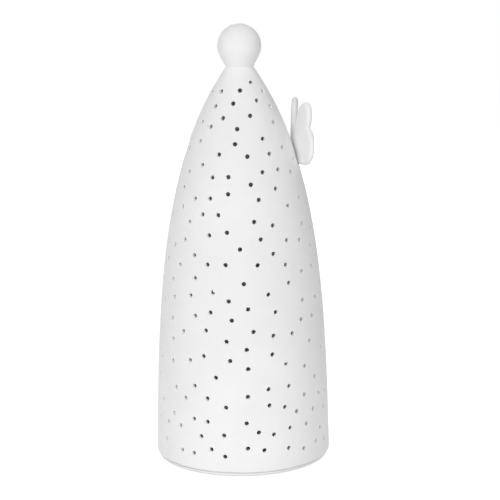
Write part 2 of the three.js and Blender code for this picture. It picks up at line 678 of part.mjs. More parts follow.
function batteryTray() {
  const height = ROOF_TOP - DECK_Z;
  const ears = trayBosses.map(({ x, y }) => {
    const inner = Math.sign(x) * (TRAY_HALF_LENGTH - TRAY_WALL / 2);
    const outer = x + Math.sign(x) * TRAY_BOSS_RADIUS;
    const length = Math.abs(outer - inner);
    return box(length, 2 * TRAY_BOSS_RADIUS, TRAY_EAR_THICKNESS, (inner + outer) / 2, y, EAR_BOTTOM);
  });
  const shell = cut(
    box(2 * TRAY_HALF_LENGTH, 2 * TRAY_HALF_WIDTH, height, 0, 0, DECK_Z),
    box(2 * BAY_HALF_LENGTH, 2 * BAY_HALF_WIDTH, ROOF_BOTTOM, 0, 0, 0),
  );
  const ribs = Array.from({ length: CELL_COUNT - 1 }, (_, index) => {
    const y = CELL_PITCH * (index - (CELL_COUNT - 2) / 2);
    return box(BAY_HALF_LENGTH, RIB_THICKNESS, ROOF_TOP - TRAY_WALL / 2 - CELL_Z, 0, y, CELL_Z);
  });
  const rooted = ROOF_TOP - TRAY_WALL / 2;
  const postTop = ROOF_TOP + BOARD_POST_HEIGHT;
  const posts = BOARD_POSTS.map(({ x, y }) => post(BOARD_POST_RADIUS, postTop - rooted, x, y, rooted));
  const ringOuter = DOME_INNER_RADIUS - SEAT_GAP;
  const ring = turned([
    [ringOuter - DOME_RING_WALL, rooted],
    [ringOuter, rooted],
    [ringOuter, ROOF_TOP + DOME_RING_HEIGHT],
    [ringOuter - DOME_RING_WALL, ROOF_TOP + DOME_RING_HEIGHT],
    [ringOuter - DOME_RING_WALL, rooted],
  ], DOME_SIDES);
  const tabSlot = ({ side, y }) => box(
    2 * TRAY_WALL,
    TAB_WIDTH + 2 * SEAT_GAP,
    CONTACT_THICKNESS + 2 * SEAT_GAP,
    side * (BAY_HALF_LENGTH + TRAY_WALL / 2),
    y,
    TAB_BOTTOM - SEAT_GAP,
  );
  return cut(
    join(shell, ...ears, ...ribs, ...posts, ring),
    ...trayBosses.map(({ x, y }) => post(SCREW_HOLE_RADIUS, ROOF_TOP, x, y, PLATE_TOP, SCREW_SIDES)),
    ...BOARD_POSTS.map(({ x, y }) => pilot(x, y, ROOF_TOP + BOARD_POST_HEIGHT)),
    wireGate(WIRE_GATE_BATTERY),
    wireGate(WIRE_GATE_SWITCH),
    tabSlot(TERMINALS.positive),
    tabSlot(TERMINALS.negative),
  );
}

place(base, 'battery_tray', batteryTray(), whitePlastic);
trayBosses.forEach((boss, index) => {
  placeScrew(`tray_screw_${index + 1}`, boss, EAR_BOTTOM + TRAY_EAR_THICKNESS, TRAY_EAR_THICKNESS);
});

// Cells, head to tail, each pressed on its positive contact by a coil spring
const CONTACT_FACE = BAY_HALF_LENGTH - SEAT_GAP - CONTACT_THICKNESS;
const CELL_TIP = CONTACT_FACE - SEAT_GAP;

function cellSolid() {
  const shoulder = CELL_LENGTH - CELL_NUB_LENGTH;
  return turned([
    [0, 0],
    [CELL_RADIUS - CELL_CRIMP, 0],
    [CELL_RADIUS, CELL_CRIMP],
    [CELL_RADIUS, shoulder - CELL_CRIMP],
    [CELL_RADIUS - CELL_CRIMP, shoulder],
    [CELL_NUB_RADIUS, shoulder],
    [CELL_NUB_RADIUS, CELL_LENGTH],
    [0, CELL_LENGTH],
  ], 14);
}

class ConeCoil extends THREE.Curve {
  getPoint(share, target = new THREE.Vector3()) {
    const run = SPRING_LENGTH - 2 * SPRING_WIRE_RADIUS;
    const radius = THREE.MathUtils.lerp(SPRING_BASE_RADIUS, SPRING_TIP_RADIUS, share);
    const angle = 2 * Math.PI * SPRING_CURLS * share;
    return target.set(SPRING_WIRE_RADIUS + run * share, radius * Math.cos(angle), radius * Math.sin(angle));
  }
}

function leastCoilGap(coil) {
  const perCurl = 24;
  const points = coil.getPoints(perCurl * SPRING_CURLS);
  let least = Infinity;
  points.forEach((point, index) => {
    points.slice(index + perCurl / 2).forEach((other) => {
      least = Math.min(least, point.distanceTo(other));
    });
  });
  return least - 2 * SPRING_WIRE_RADIUS;
}

const coil = new ConeCoil();
console.log(`contact springs, least gap between curls: ${leastCoilGap(coil).toFixed(2)} mm`);
for (let index = 0; index < CELL_COUNT; index++) {
  const facing = index % 2 ? -1 : 1;
  const y = CELL_PITCH * (index - (CELL_COUNT - 1) / 2);
  const cellEnd = [facing * (CELL_TIP - CELL_LENGTH), y, CELL_Z];
  place(base, `battery_${index + 1}`, cellSolid(), cellSleeve, cellEnd, [0, facing * Math.PI / 2, 0]);
  const spring = tube(coil, SPRING_WIRE_RADIUS, 5, 8 * SPRING_CURLS);
  const springEnd = [facing * (SEAT_GAP - CONTACT_FACE), y, CELL_Z];
  place(base, `contact_spring_${index + 1}`, spring, steel, springEnd, [0, 0, facing > 0 ? 0 : Math.PI]);
}

// Contacts: flat plates in the ends of the bay, the two end ones with a tab through the wall
function contactPlate(side, width, y) {
  const x = side * (CONTACT_FACE + CONTACT_THICKNESS / 2);
  return box(CONTACT_THICKNESS, width, CONTACT_HEIGHT, x, y, CELL_Z - CONTACT_HEIGHT / 2);
}

function terminalPlate({ side, y }) {
  const length = TRAY_HALF_LENGTH + TAB_LENGTH - CONTACT_FACE;
  const x = side * (CONTACT_FACE + length / 2);
  return join(
    contactPlate(side, CONTACT_WIDTH, y),
    box(length, TAB_WIDTH, CONTACT_THICKNESS, x, y, TAB_BOTTOM),
  );
}

place(base, 'contact_positive', terminalPlate(TERMINALS.positive), nickel);
place(base, 'contact_negative', terminalPlate(TERMINALS.negative), nickel);
for (let index = 1; index < CELL_COUNT; index++) {
  const side = index % 2 ? 1 : -1;
  const y = CELL_PITCH * (index - CELL_COUNT / 2);
  place(base, `contact_bridge_${index}`, contactPlate(side, CELL_PITCH + CONTACT_WIDTH, y), nickel);
}

// Light: a round board on two posts, three lamps with their resistors, under an opal dome
function ledBoard() {
  return cut(
    post(BOARD_RADIUS, BOARD_THICKNESS, 0, 0, BOARD_BOTTOM, 24),
    ...BOARD_POSTS.map(({ x, y }) => post(SCREW_HOLE_RADIUS, BOARD_TOP, x, y, ROOF_TOP, SCREW_SIDES)),
  );
}

function ledSolid() {
  return turned([
    [0, 0],
    [LED_FLANGE_RADIUS, 0],
    [LED_FLANGE_RADIUS, LED_FLANGE_HEIGHT],
    [LED_RADIUS, LED_FLANGE_HEIGHT],
    ...arc(0, LED_HEIGHT - LED_RADIUS, LED_RADIUS, 0, Math.PI / 2, 4),
  ], 12);
}

function resistorSolid() {
  const end = RESISTOR_LENGTH / 2;
  return turned([
    [0, -end],
    [RESISTOR_WAIST_RADIUS, -end],
    [RESISTOR_RADIUS, RESISTOR_BULGE - end],
    [RESISTOR_WAIST_RADIUS, 0],
    [RESISTOR_RADIUS, end - RESISTOR_BULGE],
    [RESISTOR_WAIST_RADIUS, end],
    [0, end],
  ], 10).rotateX(Math.PI / 2);
}

function diffuserDome() {
  const foot = ROOF_TOP + SEAT_GAP;
  const spring = foot + DOME_STRAIGHT;
  const outer = DOME_INNER_RADIUS + DOME_WALL;
  const dome = turned([
    [DOME_INNER_RADIUS, foot],
    [outer, foot],
    ...arc(0, spring, outer, 0, Math.PI / 2, 6),
    ...arc(0, spring, DOME_INNER_RADIUS, Math.PI / 2, 0, 5),
    [DOME_INNER_RADIUS, foot],
  ], DOME_SIDES);
  return cut(dome, wireGate(WIRE_GATE_BATTERY), wireGate(WIRE_GATE_SWITCH));
}

place(base, 'led_board', ledBoard(), circuitBoard);
BOARD_POSTS.forEach((boss, index) => {
  placeScrew(`board_screw_${index + 1}`, boss, BOARD_TOP, BOARD_THICKNESS);
});
around(LED_COUNT, LED_CIRCLE_RADIUS, Math.PI / 2).forEach(({ x, y }, index) => {
  place(base, `led_${index + 1}`, ledSolid(), clearEpoxy, [x, y, BOARD_TOP + SEAT_GAP]);
});
const betweenLeds = Math.PI / 2 + Math.PI / LED_COUNT;
around(LED_COUNT, RESISTOR_CIRCLE_RADIUS, betweenLeds).forEach(({ x, y, angle }, index) => {
  const axisZ = BOARD_TOP + SEAT_GAP + RESISTOR_RADIUS;
  place(base, `resistor_${index + 1}`, resistorSolid(), resistorBody, [x, y, axisZ], [0, 0, angle]);
});
place(base, 'diffuser_dome', diffuserDome(), opal);

// Switch: a body on two bosses, and a knob whose foot slides in it and whose stem shows underneath
const KNOB_FOOT_TOP = DECK_Z + KNOB_FOOT_HEIGHT;

function switchBody() {
  const flangeLength = 2 * (SWITCH_BOSS_X + SWITCH_BOSS_RADIUS);
  const flangeBottom = SWITCH_TOP - SWITCH_FLANGE_THICKNESS;
  const terminals = [1, -1].map((side) => {
    const x = side * TERMINAL_SPACING / 2;
    const height = TERMINAL_HEIGHT + SWITCH_FLANGE_THICKNESS;
    return box(CONTACT_THICKNESS, TERMINAL_WIDTH, height, x, SWITCH_Y, flangeBottom);
  });
  return cut(
    join(
      box(SWITCH_LENGTH, SWITCH_WIDTH, SWITCH_HEIGHT, 0, SWITCH_Y, DECK_Z),
      box(flangeLength, SWITCH_WIDTH, SWITCH_FLANGE_THICKNESS, 0, SWITCH_Y, flangeBottom),
      ...terminals,
    ),
    box(CHANNEL_LENGTH, CHANNEL_WIDTH, KNOB_FOOT_TOP + SEAT_GAP, 0, SWITCH_Y, 0),
    ...switchBosses.map(({ x, y }) => post(SCREW_HOLE_RADIUS, SWITCH_TOP, x, y, PLATE_TOP, SCREW_SIDES)),
  );
}

function switchKnob() {
  const x = -KNOB_TRAVEL / 2;
  return join(
    box(KNOB_LENGTH, KNOB_WIDTH, KNOB_FOOT_TOP - PLATE_BOTTOM, x, SWITCH_Y, PLATE_BOTTOM),
    box(KNOB_FOOT_LENGTH, KNOB_FOOT_WIDTH, KNOB_FOOT_HEIGHT, x, SWITCH_Y, DECK_Z),
  );
}

place(base, 'switch_body', switchBody(), darkPlastic);
switchBosses.forEach((boss, index) => {
  placeScrew(`switch_screw_${index + 1}`, boss, SWITCH_TOP, SWITCH_FLANGE_THICKNESS);
});
place(angel, 'switch_knob', switchKnob(), darkPlastic);

// Battery door: a flap with a round hinge edge, two pins in the plate and a small snap opposite
function batteryDoor() {
  const halfLength = OPENING_HALF_LENGTH - SEAT_GAP;
  const snapEdge = OPENING_HALF_WIDTH - SEAT_GAP;
  const farEdge = snapEdge - DOOR_SNAP;
  const width = farEdge - HINGE_Y;
  return join(
    box(2 * halfLength, width, DOOR_THICKNESS, 0, HINGE_Y + width / 2, PLATE_BOTTOM),
    alongX(HINGE_RADIUS, halfLength, HINGE_Y, HINGE_Z, 16),
    alongX(DOOR_PIN_RADIUS, OPENING_HALF_LENGTH + DOOR_PIN_LENGTH - SEAT_GAP, HINGE_Y, HINGE_Z, 10),
    ...[1, -1].map((side) => box(
      DOOR_SNAP_LENGTH,
      2 * DOOR_SNAP,
      DOOR_THICKNESS / 3,
      side * halfLength / 2,
      farEdge,
      PLATE_BOTTOM + DOOR_THICKNESS / 3,
    )),
  );
}

place(angel, 'battery_door', batteryDoor(), whitePlastic);

// Wires: from the tabs and terminals, through the dome's two gates, to the underside of the board
const WIRE_START = TRAY_HALF_LENGTH + TAB_LENGTH + SEAT_GAP;
const TAB_MIDDLE = TAB_BOTTOM + CONTACT_THICKNESS / 2;
const TERMINAL_TOP = SWITCH_TOP + TERMINAL_HEIGHT + SEAT_GAP;
const GATE_Z = ROOF_TOP + 2 * SEAT_GAP + WIRE_RADIUS;

function tabWirePoint({ side, y }, outward, along, up) {
  return new THREE.Vector3(side * (WIRE_START + outward), y + along, TAB_MIDDLE + up);
}

function throughGate(bearing) {
  const along = (radius, z) => new THREE.Vector3(radius * Math.cos(bearing), radius * Math.sin(bearing), z);
  const wall = DOME_INNER_RADIUS + DOME_WALL / 2;
  const pad = BOARD_BOTTOM - 2 * SEAT_GAP;
  return [
    along(wall + 2 * WIRE_BEND, GATE_Z + WIRE_RADIUS),
    along(wall + WIRE_BEND / 2, GATE_Z),
    along(wall - WIRE_BEND / 2, GATE_Z),
    along(WIRE_PAD_RADIUS, (GATE_Z + pad) / 2),
    along(WIRE_PAD_RADIUS, pad),
  ];
}

function wire(...points) {
  return tube(new THREE.CatmullRomCurve3(points), WIRE_RADIUS, WIRE_SIDES, WIRE_STEPS);
}

place(base, 'wire_battery_switch', wire(
  tabWirePoint(TERMINALS.positive, 0, 0, 0),
  tabWirePoint(TERMINALS.positive, WIRE_BEND, 0, 0),
  tabWirePoint(TERMINALS.positive, WIRE_BEND, 2 * WIRE_BEND, 0),
  new THREE.Vector3(SWITCH_BOSS_X + 2 * WIRE_BEND, SWITCH_Y, TERMINAL_TOP + WIRE_BEND),
  new THREE.Vector3(TERMINAL_SPACING / 2, SWITCH_Y, TERMINAL_TOP + WIRE_BEND),
  new THREE.Vector3(TERMINAL_SPACING / 2, SWITCH_Y, TERMINAL_TOP),
), redPvc);
place(base, 'wire_switch_board', wire(
  new THREE.Vector3(-TERMINAL_SPACING / 2, SWITCH_Y, TERMINAL_TOP),
  new THREE.Vector3(-TERMINAL_SPACING / 2, SWITCH_Y, TERMINAL_TOP + WIRE_BEND),
  ...throughGate(WIRE_GATE_SWITCH),
), redPvc);
place(base, 'wire_battery_board', wire(
  tabWirePoint(TERMINALS.negative, 0, 0, 0),
  tabWirePoint(TERMINALS.negative, WIRE_BEND, 0, 0),
  tabWirePoint(TERMINALS.negative, 0, 0, 2 * WIRE_BEND),
  ...throughGate(WIRE_GATE_BATTERY),
), blackPvc);

export default angel;
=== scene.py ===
# %% [markdown]
# A pierced bisque angel light, dressed for its portrait.
#
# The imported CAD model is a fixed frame: every solid is already in its place, in metres. This file
# gives each solid the shape and finish that the eye sees, one step at a time, and each piece rides
# on the body that carries it, so the robe still lifts, the door still swings and the knob still
# slides. Sizes of the figure are written in millimetres and are turned to metres where they meet
# Blender; only the lamps and the floor are in metres throughout.

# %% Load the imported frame
import math

import bmesh
import bpy
from mathutils import Matrix, Vector


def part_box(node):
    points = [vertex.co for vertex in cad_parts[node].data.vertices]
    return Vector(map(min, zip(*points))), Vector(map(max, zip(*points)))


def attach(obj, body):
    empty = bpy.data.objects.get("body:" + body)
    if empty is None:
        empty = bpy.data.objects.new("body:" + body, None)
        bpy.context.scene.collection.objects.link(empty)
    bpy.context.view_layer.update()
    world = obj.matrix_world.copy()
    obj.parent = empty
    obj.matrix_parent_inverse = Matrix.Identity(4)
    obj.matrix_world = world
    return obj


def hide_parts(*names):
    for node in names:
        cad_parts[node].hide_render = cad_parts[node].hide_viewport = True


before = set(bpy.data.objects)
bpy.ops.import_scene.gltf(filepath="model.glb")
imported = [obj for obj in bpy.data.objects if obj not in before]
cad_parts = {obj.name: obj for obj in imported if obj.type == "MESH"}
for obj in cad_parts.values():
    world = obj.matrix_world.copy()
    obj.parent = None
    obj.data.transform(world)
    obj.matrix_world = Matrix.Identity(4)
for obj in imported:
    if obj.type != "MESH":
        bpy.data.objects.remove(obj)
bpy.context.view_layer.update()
scene = bpy.context.scene
MM = 0.001  # one millimetre in Blender's metres


def extent(node):
    """The lowest corner, the highest corner and the middle of a solid's box, in mm."""
    low, high = (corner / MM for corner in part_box(node))
    return low, high, (low + high) / 2


def numbered(kind, count):
    """The names of a set of solids: kind_1, kind_2 and so on."""
    return [f"{kind}_{number}" for number in range(1, count + 1)]


# %% [markdown]
# The camera stands a little above the neck, about 0.86 m away, and looks slightly down. These
# numbers come from fitting the robe's outline and the ellipse of its hem, because a turned shape of
# known profile fixes the distance, the height and the lens at the same time. A camera could also be
# aimed with a Track To constraint, but writing its turns one by one keeps the small roll exact.

# %% Camera
CAMERA_BEARING = math.radians(81)
CAMERA_DISTANCE = 857.86
CAMERA_HEIGHT = 281.11
CAMERA_ASIDE = 4.89
CAMERA_TILT = 0.188
CAMERA_ROLL = -0.009
FOCAL_PIXELS = 1546.95
IMAGE_PIXELS = 500
SENSOR_WIDTH = 36.0

UP = Vector((0, 0, 1))

lens = bpy.data.cameras.new("portrait")
lens.sensor_width = SENSOR_WIDTH
lens.lens = FOCAL_PIXELS / IMAGE_PIXELS * SENSOR_WIDTH
camera = bpy.data.objects.new("portrait", lens)
scene.collection.objects.link(camera)
stand = Vector((CAMERA_ASIDE, -CAMERA_DISTANCE, CAMERA_HEIGHT)) * MM
camera.matrix_world = (
    Matrix.Rotation(CAMERA_BEARING, 4, "Z") @ Matrix.Translation(stand)
    @ Matrix.Rotation(math.pi / 2 - CAMERA_TILT, 4, "X") @ Matrix.Rotation(CAMERA_ROLL, 4, "Z")
)
scene.camera = camera
print(f"Camera: {lens.lens:.1f} mm lens, {stand.length:.3f} m from the foot of the figure")

# %% [markdown]
# A few small helpers serve every material and every node tree below. Colours are written as the
# sRGB hex values that a paint chart would give, and Blender's sockets want linear light, so one
# function converts them. The others add a node with its settings and inputs, a sum of two values,
# or a ramp of colours, and start a material with an empty tree.

# %% Colour and node helpers
def linear(hex_colour):
    """The linear RGBA of an sRGB hex colour."""
    channels = [int(hex_colour[at:at + 2], 16) / 255 for at in (1, 3, 5)]
    return (*[c / 12.92 if c <= 0.04045 else ((c + 0.055) / 1.055) ** 2.4 for c in channels], 1.0)


def grey(level):
    """The RGBA of a linear grey level."""
    return (level, level, level, 1.0)


def add_node(tree, kind, sockets=None, **settings):
    """Adds a node; a socket takes a value, an output, or a node whose first output is meant."""
    node = tree.nodes.new(kind)
    for key, value in settings.items():
        setattr(node, key, value)
    for key, value in (sockets or {}).items():
        if isinstance(value, bpy.types.Node):
            value = value.outputs[0]
        if isinstance(value, bpy.types.NodeSocket):
            tree.links.new(value, node.inputs[key])
        else:
            node.inputs[key].default_value = value
    return node


def maths(tree, operation, first, second):
    """An operation on two values or outputs."""
    return add_node(tree, "ShaderNodeMath", {0: first, 1: second}, operation=operation)


def colour_ramp(tree, value, stops, interpolation="LINEAR"):
    """A ramp that gives a value its colour, with stops of (position, linear colour)."""
    ramp = add_node(tree, "ShaderNodeValToRGB", {"Fac": value})
    ramp.color_ramp.interpolation = interpolation
    marks = ramp.color_ramp.elements
    for number, (position, colour) in enumerate(stops):
        mark = marks[0] if number < 1 else marks.new(position)
        mark.position, mark.color = position, colour
    marks.remove(marks[-1])
    return ramp


def new_material(name):
    """A material and its node tree, which is empty."""
    material = bpy.data.materials.new(name)
    material.use_nodes = True
    material.node_tree.nodes.clear()
    return material, material.node_tree


# %% [markdown]
# White on white needs soft light: a ceiling that fades out towards the walls, a white floor that
# throws light up, most of it near the figure, and two broad lamps in front that model its roundness,
# the left one higher and stronger. A third lamp, straight behind, does nothing for the portrait but
# keeps the back as white as the front. The light is kept so low that a colour renders about as it
# is written. The picture's white comes from what the camera sees of the room and the floor, through
# Light Path, and not from more light on the figure.

# %% White room
CEILING_LIGHT = 0.37

scene.view_settings.view_transform = "Standard"
room = bpy.data.worlds.new("white_room")
room.use_nodes = True
scene.world = room
air = room.node_tree
air.nodes.clear()


def seen_directly(tree):
    """1 for the rays by which the camera sees the room or floor, also in a mirror or through glass."""
    rays = add_node(tree, "ShaderNodeLightPath").outputs
    mirrored = maths(tree, "MAXIMUM", rays["Is Camera Ray"], rays["Is Glossy Ray"])
    return maths(tree, "MAXIMUM", mirrored, rays["Is Transmission Ray"])


direction = add_node(air, "ShaderNodeTexCoord").outputs["Generated"]
upward = add_node(air, "ShaderNodeSeparateXYZ", {"Vector": direction}).outputs["Z"]
graded = add_node(air, "ShaderNodeMapRange", {
    "Value": upward, "To Min": 0.0, "To Max": CEILING_LIGHT,
})
brightness = add_node(air, "ShaderNodeMix", {
    "Factor": seen_directly(air), "A": graded, "B": 1.0,
})
walls = add_node(air, "ShaderNodeBackground", {
    "Color": linear("#FFFFFF"), "Strength": brightness,
})
add_node(air, "ShaderNodeOutputWorld", {"Surface": walls})
print(f"Ceiling light {CEILING_LIGHT}, fading to the walls")

# %% Soft lamps
LAMP_OUT = UP * 1.5
LAMP_SIZE = 0.9
LAMP_AIM = UP * 0.12  # half way up the figure
LAMPS = {  # degrees to the right of the camera, degrees up, watts
    "left_softbox": (-30, 33, 11.6),
    "right_softbox": (30, 10, 6.2),
    "back_softbox": (180, 10, 12.5),
}

for name, (aside, rise, watts) in LAMPS.items():
    lamp = bpy.data.lights.new(name, "AREA")
    lamp.shape, lamp.size, lamp.energy = "DISK", LAMP_SIZE, watts
    softbox = bpy.data.objects.new(name, lamp)
    scene.collection.objects.link(softbox)
    way = Matrix.Rotation(CAMERA_BEARING + math.radians(aside), 4, "Z")
    tilt = Matrix.Rotation(math.radians(90 - rise), 4, "X")
    softbox.matrix_world = Matrix.Translation(LAMP_AIM) @ way @ tilt @ Matrix.Translation(LAMP_OUT)
    print(name, "at", [round(value, 2) for value in softbox.matrix_world.translation], "m")

# %% Floor
FLOOR_HALF = 3.0
# The floor's light is painted on it as a glow keyed to the distance from the figure: a pool of it near
# the figure, and none under the base, which is a painted shadow there.
FLOOR_LIGHT = [(0.0, 0.0), (0.046, 0.0), (0.051, 0.86), (0.12, 0.98), (0.3, 0.66)]  # m out, level
FLOOR_GLOW = 0.92
FLOOR_SHARE = 0.38

floor_finish, tree = new_material("white_paper_floor")
spot = add_node(tree, "ShaderNodeTexCoord").outputs["Object"]
away = add_node(tree, "ShaderNodeVectorMath", {0: spot}, operation="LENGTH").outputs["Value"]
thrown = colour_ramp(tree, away, [(radius, grey(level)) for radius, level in FLOOR_LIGHT])
lit = add_node(tree, "ShaderNodeEmission", {"Color": thrown, "Strength": 1.0})
pale = add_node(tree, "ShaderNodeBsdfDiffuse", {"Color": grey(FLOOR_SHARE)})
glow = add_node(tree, "ShaderNodeEmission", {"Color": linear("#FFFFFF"), "Strength": FLOOR_GLOW})
shown = add_node(tree, "ShaderNodeAddShader", {0: pale, 1: glow})
paper = add_node(tree, "ShaderNodeMixShader", {0: seen_directly(tree), 1: lit, 2: shown})
add_node(tree, "ShaderNodeOutputMaterial", {"Surface": paper})

floor_mesh = bpy.data.meshes.new("floor")
floor_mesh.from_pydata(
    [(x * FLOOR_HALF, y * FLOOR_HALF, 0) for x, y in ((-1, -1), (1, -1), (1, 1), (-1, 1))],
    [], [(0, 1, 2, 3)],
)
floor_mesh.materials.append(floor_finish)
floor = bpy.data.objects.new("floor", floor_mesh)
scene.collection.objects.link(floor)
print("Floor: sheet of", 2 * FLOOR_HALF, "m")

# %% [markdown]
# Most finishes on this object share one make-up: a colour that drifts between two close shades in
# broad patches, and a fine grain that only the light picks up. One function builds that from a few
# numbers, and each material below says what it really is. The grain is a bump, because it is far
# too small for geometry, and it sits on Object coordinates so that it stays put on the piece.

# %% Finish helper
PATCH_STOPS = (0.32, 0.68)
POLISH_DRIFT = 0.06


def finish(name, shades, roughness, patch, grain, depth, **sockets):
    """A finish with two close shades in patches of a size, over a grain of a size and depth, in mm."""
    material, tree = new_material(name)
    place = add_node(tree, "ShaderNodeTexCoord").outputs["Object"]
    drift = add_node(tree, "ShaderNodeTexNoise", {
        "Vector": place, "Scale": 1 / (patch * MM), "Detail": 3.0, "Roughness": 0.55,
    })
    grit = add_node(tree, "ShaderNodeTexNoise", {
        "Vector": place, "Scale": 1 / (grain * MM), "Detail": 4.0, "Roughness": 0.6,
    })
    relief = add_node(tree, "ShaderNodeBump", {
        "Height": grit, "Strength": 1.0, "Distance": depth * MM,
    })
    polish = add_node(tree, "ShaderNodeMapRange", {
        "Value": grit, "To Min": roughness - POLISH_DRIFT, "To Max": roughness + POLISH_DRIFT,
    })
    shader = add_node(tree, "ShaderNodeBsdfPrincipled", {
        "Base Color": colour_ramp(tree, drift, zip(PATCH_STOPS, map(linear, shades))),
        "Roughness": polish, "Normal": relief,
        **{key.replace("_", " "): value for key, value in sockets.items()},
    })
    add_node(tree, "ShaderNodeOutputMaterial", {"Surface": shader})
    print(f"Finish {name}: grain {grain} mm, {depth} mm deep")
    return material


# %% [markdown]
# Bisque is porcelain or fine earthenware fired once and left without glaze. It is chalky: bright,
# quite matt, with a fine sugary grain from the body of the clay. The real grain is about 0.1 mm,
# too fine for this picture, so it is drawn at 0.9 mm and kept shallow. The inside of the casting is
# never sponged, so it stays rougher; its colour is painted a shade darker than the outside, as
# painted shade that deepens the holes, and a faint emission on it is a painted glow that stands in
# for light through the thin wall. The walls of the holes get a paler copy of the bisque with a
# stronger emission, painted light that makes holes seen at a slant look pale.

# %% Bisque finishes
# Emission strengths: a painted glow on the inside and painted light on the walls of the holes.
PAINTED_INSIDE_GLOW = 0.006
PAINTED_BORE_GLOW = 0.075

bisque = finish(
    "bisque_porcelain", ("#EEEEEE", "#F2F2F2"), 0.78, patch=26, grain=0.9, depth=0.035,
    IOR=1.5, Specular_IOR_Level=0.3, Diffuse_Roughness=0.4,
)
# Inside of the robe: rougher, painted a shade darker than the outside as painted shade, with a faint
# emission as a painted glow.
inside_painted_shade_and_glow = finish(
    "bisque_inside_unsponged", ("#DEDEDD", "#E4E4E3"), 0.85, patch=18, grain=1.4, depth=0.08,
    IOR=1.5, Specular_IOR_Level=0.2,
    Emission_Color=linear("#FFFFFF"), Emission_Strength=PAINTED_INSIDE_GLOW,
)
# Walls of the holes: a paler copy of the bisque with a stronger emission, painted light.
bore_painted_light = finish(
    "bisque_fresh_cut", ("#F4F4F4", "#F8F8F8"), 0.85, patch=18, grain=1.0, depth=0.04,
    IOR=1.5, Specular_IOR_Level=0.2,
    Emission_Color=linear("#FFFFFF"), Emission_Strength=PAINTED_BORE_GLOW,
)

# %% [markdown]
# The robe is one slip-cast shell that follows a single smooth curve from hem to neck. It could be a
# spun curve object, but a small turning function also serves the head, plate, dome, lamps and cells,
# and it notes each point's height on the mesh, so that a finish can later follow it.

# %% Turning and smoothing helpers
SLIVER = 0.004


def from_mesh(mesh):
    """A mesh opened for editing."""
    work = bmesh.new()
    work.from_mesh(mesh)
    return work


def to_mesh(work, mesh):
    """Puts edited geometry into a mesh, and closes it for editing."""
    work.to_mesh(mesh)
    work.free()
    return mesh


def spread(start, end, steps):
    """Evenly spread values from a start to an end."""
    return [start + (end - start) * step / steps for step in range(steps + 1)]


def arc(centre_radius, centre_height, radius, start, end, steps):
    """Points of an arc in a profile, from one angle in degrees to another."""
    return [
        (centre_radius + radius * math.cos(a), centre_height + radius * math.sin(a))
        for a in map(math.radians, spread(start, end, steps))
    ]


def turned(name, profile, sides, closed=False):
    """A mesh turned about Z from (radius, height) pairs in mm; a closed profile makes a ring."""
    work = bmesh.new()
    bearings = [2 * math.pi * step / sides for step in range(sides)]
    rings = [
        [
            work.verts.new((radius * MM * math.cos(b), radius * MM * math.sin(b), height * MM))
            for b in (bearings if radius > 0 else bearings[:1])
        ]
        for radius, height in profile
    ]
    for low, high in zip(rings, rings[1:] + (rings[:1] if closed else [])):
        for here, after in zip(range(sides), (*range(1, sides), 0)):
            corners = dict.fromkeys([
                low[here % len(low)], low[after % len(low)],
                high[after % len(high)], high[here % len(high)],
            ])
            if len(corners) > 2:
                work.faces.new(list(corners))
    bmesh.ops.recalc_face_normals(work, faces=work.faces)
    mesh = to_mesh(work, bpy.data.meshes.new(name))
    along = mesh.attributes.new("along", "FLOAT", "POINT")
    along.data.foreach_set("value", [vertex.co.z / MM for vertex in mesh.vertices])
    return mesh


def smoothed(mesh, crease=38):
    """Clears a mesh of slivers and shades it smooth, but keeps edges sharper than an angle crisp."""
    work = from_mesh(mesh)
    bmesh.ops.dissolve_degenerate(work, edges=work.edges, dist=SLIVER * MM)
    bmesh.ops.triangulate(work, faces=[face for face in work.faces if len(face.verts) > 4])
    bmesh.ops.dissolve_degenerate(work, edges=work.edges, dist=SLIVER * MM)
    to_mesh(work, mesh)
    mesh.shade_smooth()
    mesh.set_sharp_from_angle(angle=math.radians(crease))
    return mesh


# %% Robe profile
HEM_Z = 3.3
ROBE_HEIGHT = 217.8
NECK_Z = HEM_Z + ROBE_HEIGHT
HEM_RADIUS = 49.5
NECK_RADIUS = 7.6
ROBE_WALL = 2.2
HEM_ROUND = 0.4
ROBE_CURVE = [  # the four points of a cubic Bezier curve, as (radius, height)
    (HEM_RADIUS, HEM_Z), (HEM_RADIUS - 2.1, HEM_Z + 82.9),
    (HEM_RADIUS - 4.2, NECK_Z - 53.3), (NECK_RADIUS, NECK_Z),
]
ROBE_SIDES = 192
OUTER_RINGS = 132
INNER_RINGS = 60
HALVINGS = 40


def cubic(share):
    """The weights of a cubic Bezier curve's four points at a share of its run."""
    left = 1 - share
    return left ** 3, 3 * left * left * share, 3 * left * share * share, share ** 3


def robe_at(height):
    """The robe's outer radius, inner radius and slope (inward per rise) at a height, in mm."""
    low, high = 0.0, 1.0
    for _ in range(HALVINGS):
        share = (low + high) / 2
        if sum(w * z for w, (_, z) in zip(cubic(share), ROBE_CURVE)) < height:
            low = share
        else:
            high = share
    radius = sum(w * r for w, (r, _) in zip(cubic(share), ROBE_CURVE))
    pulls = ((1 - share) ** 2, 2 * (1 - share) * share, share * share)
    run, rise = (
        sum(p * (b[axis] - a[axis]) for p, a, b in zip(pulls, ROBE_CURVE, ROBE_CURVE[1:]))
        for axis in (0, 1)
    )
    return radius, radius - ROBE_WALL * math.hypot(run, rise) / rise, -run / rise


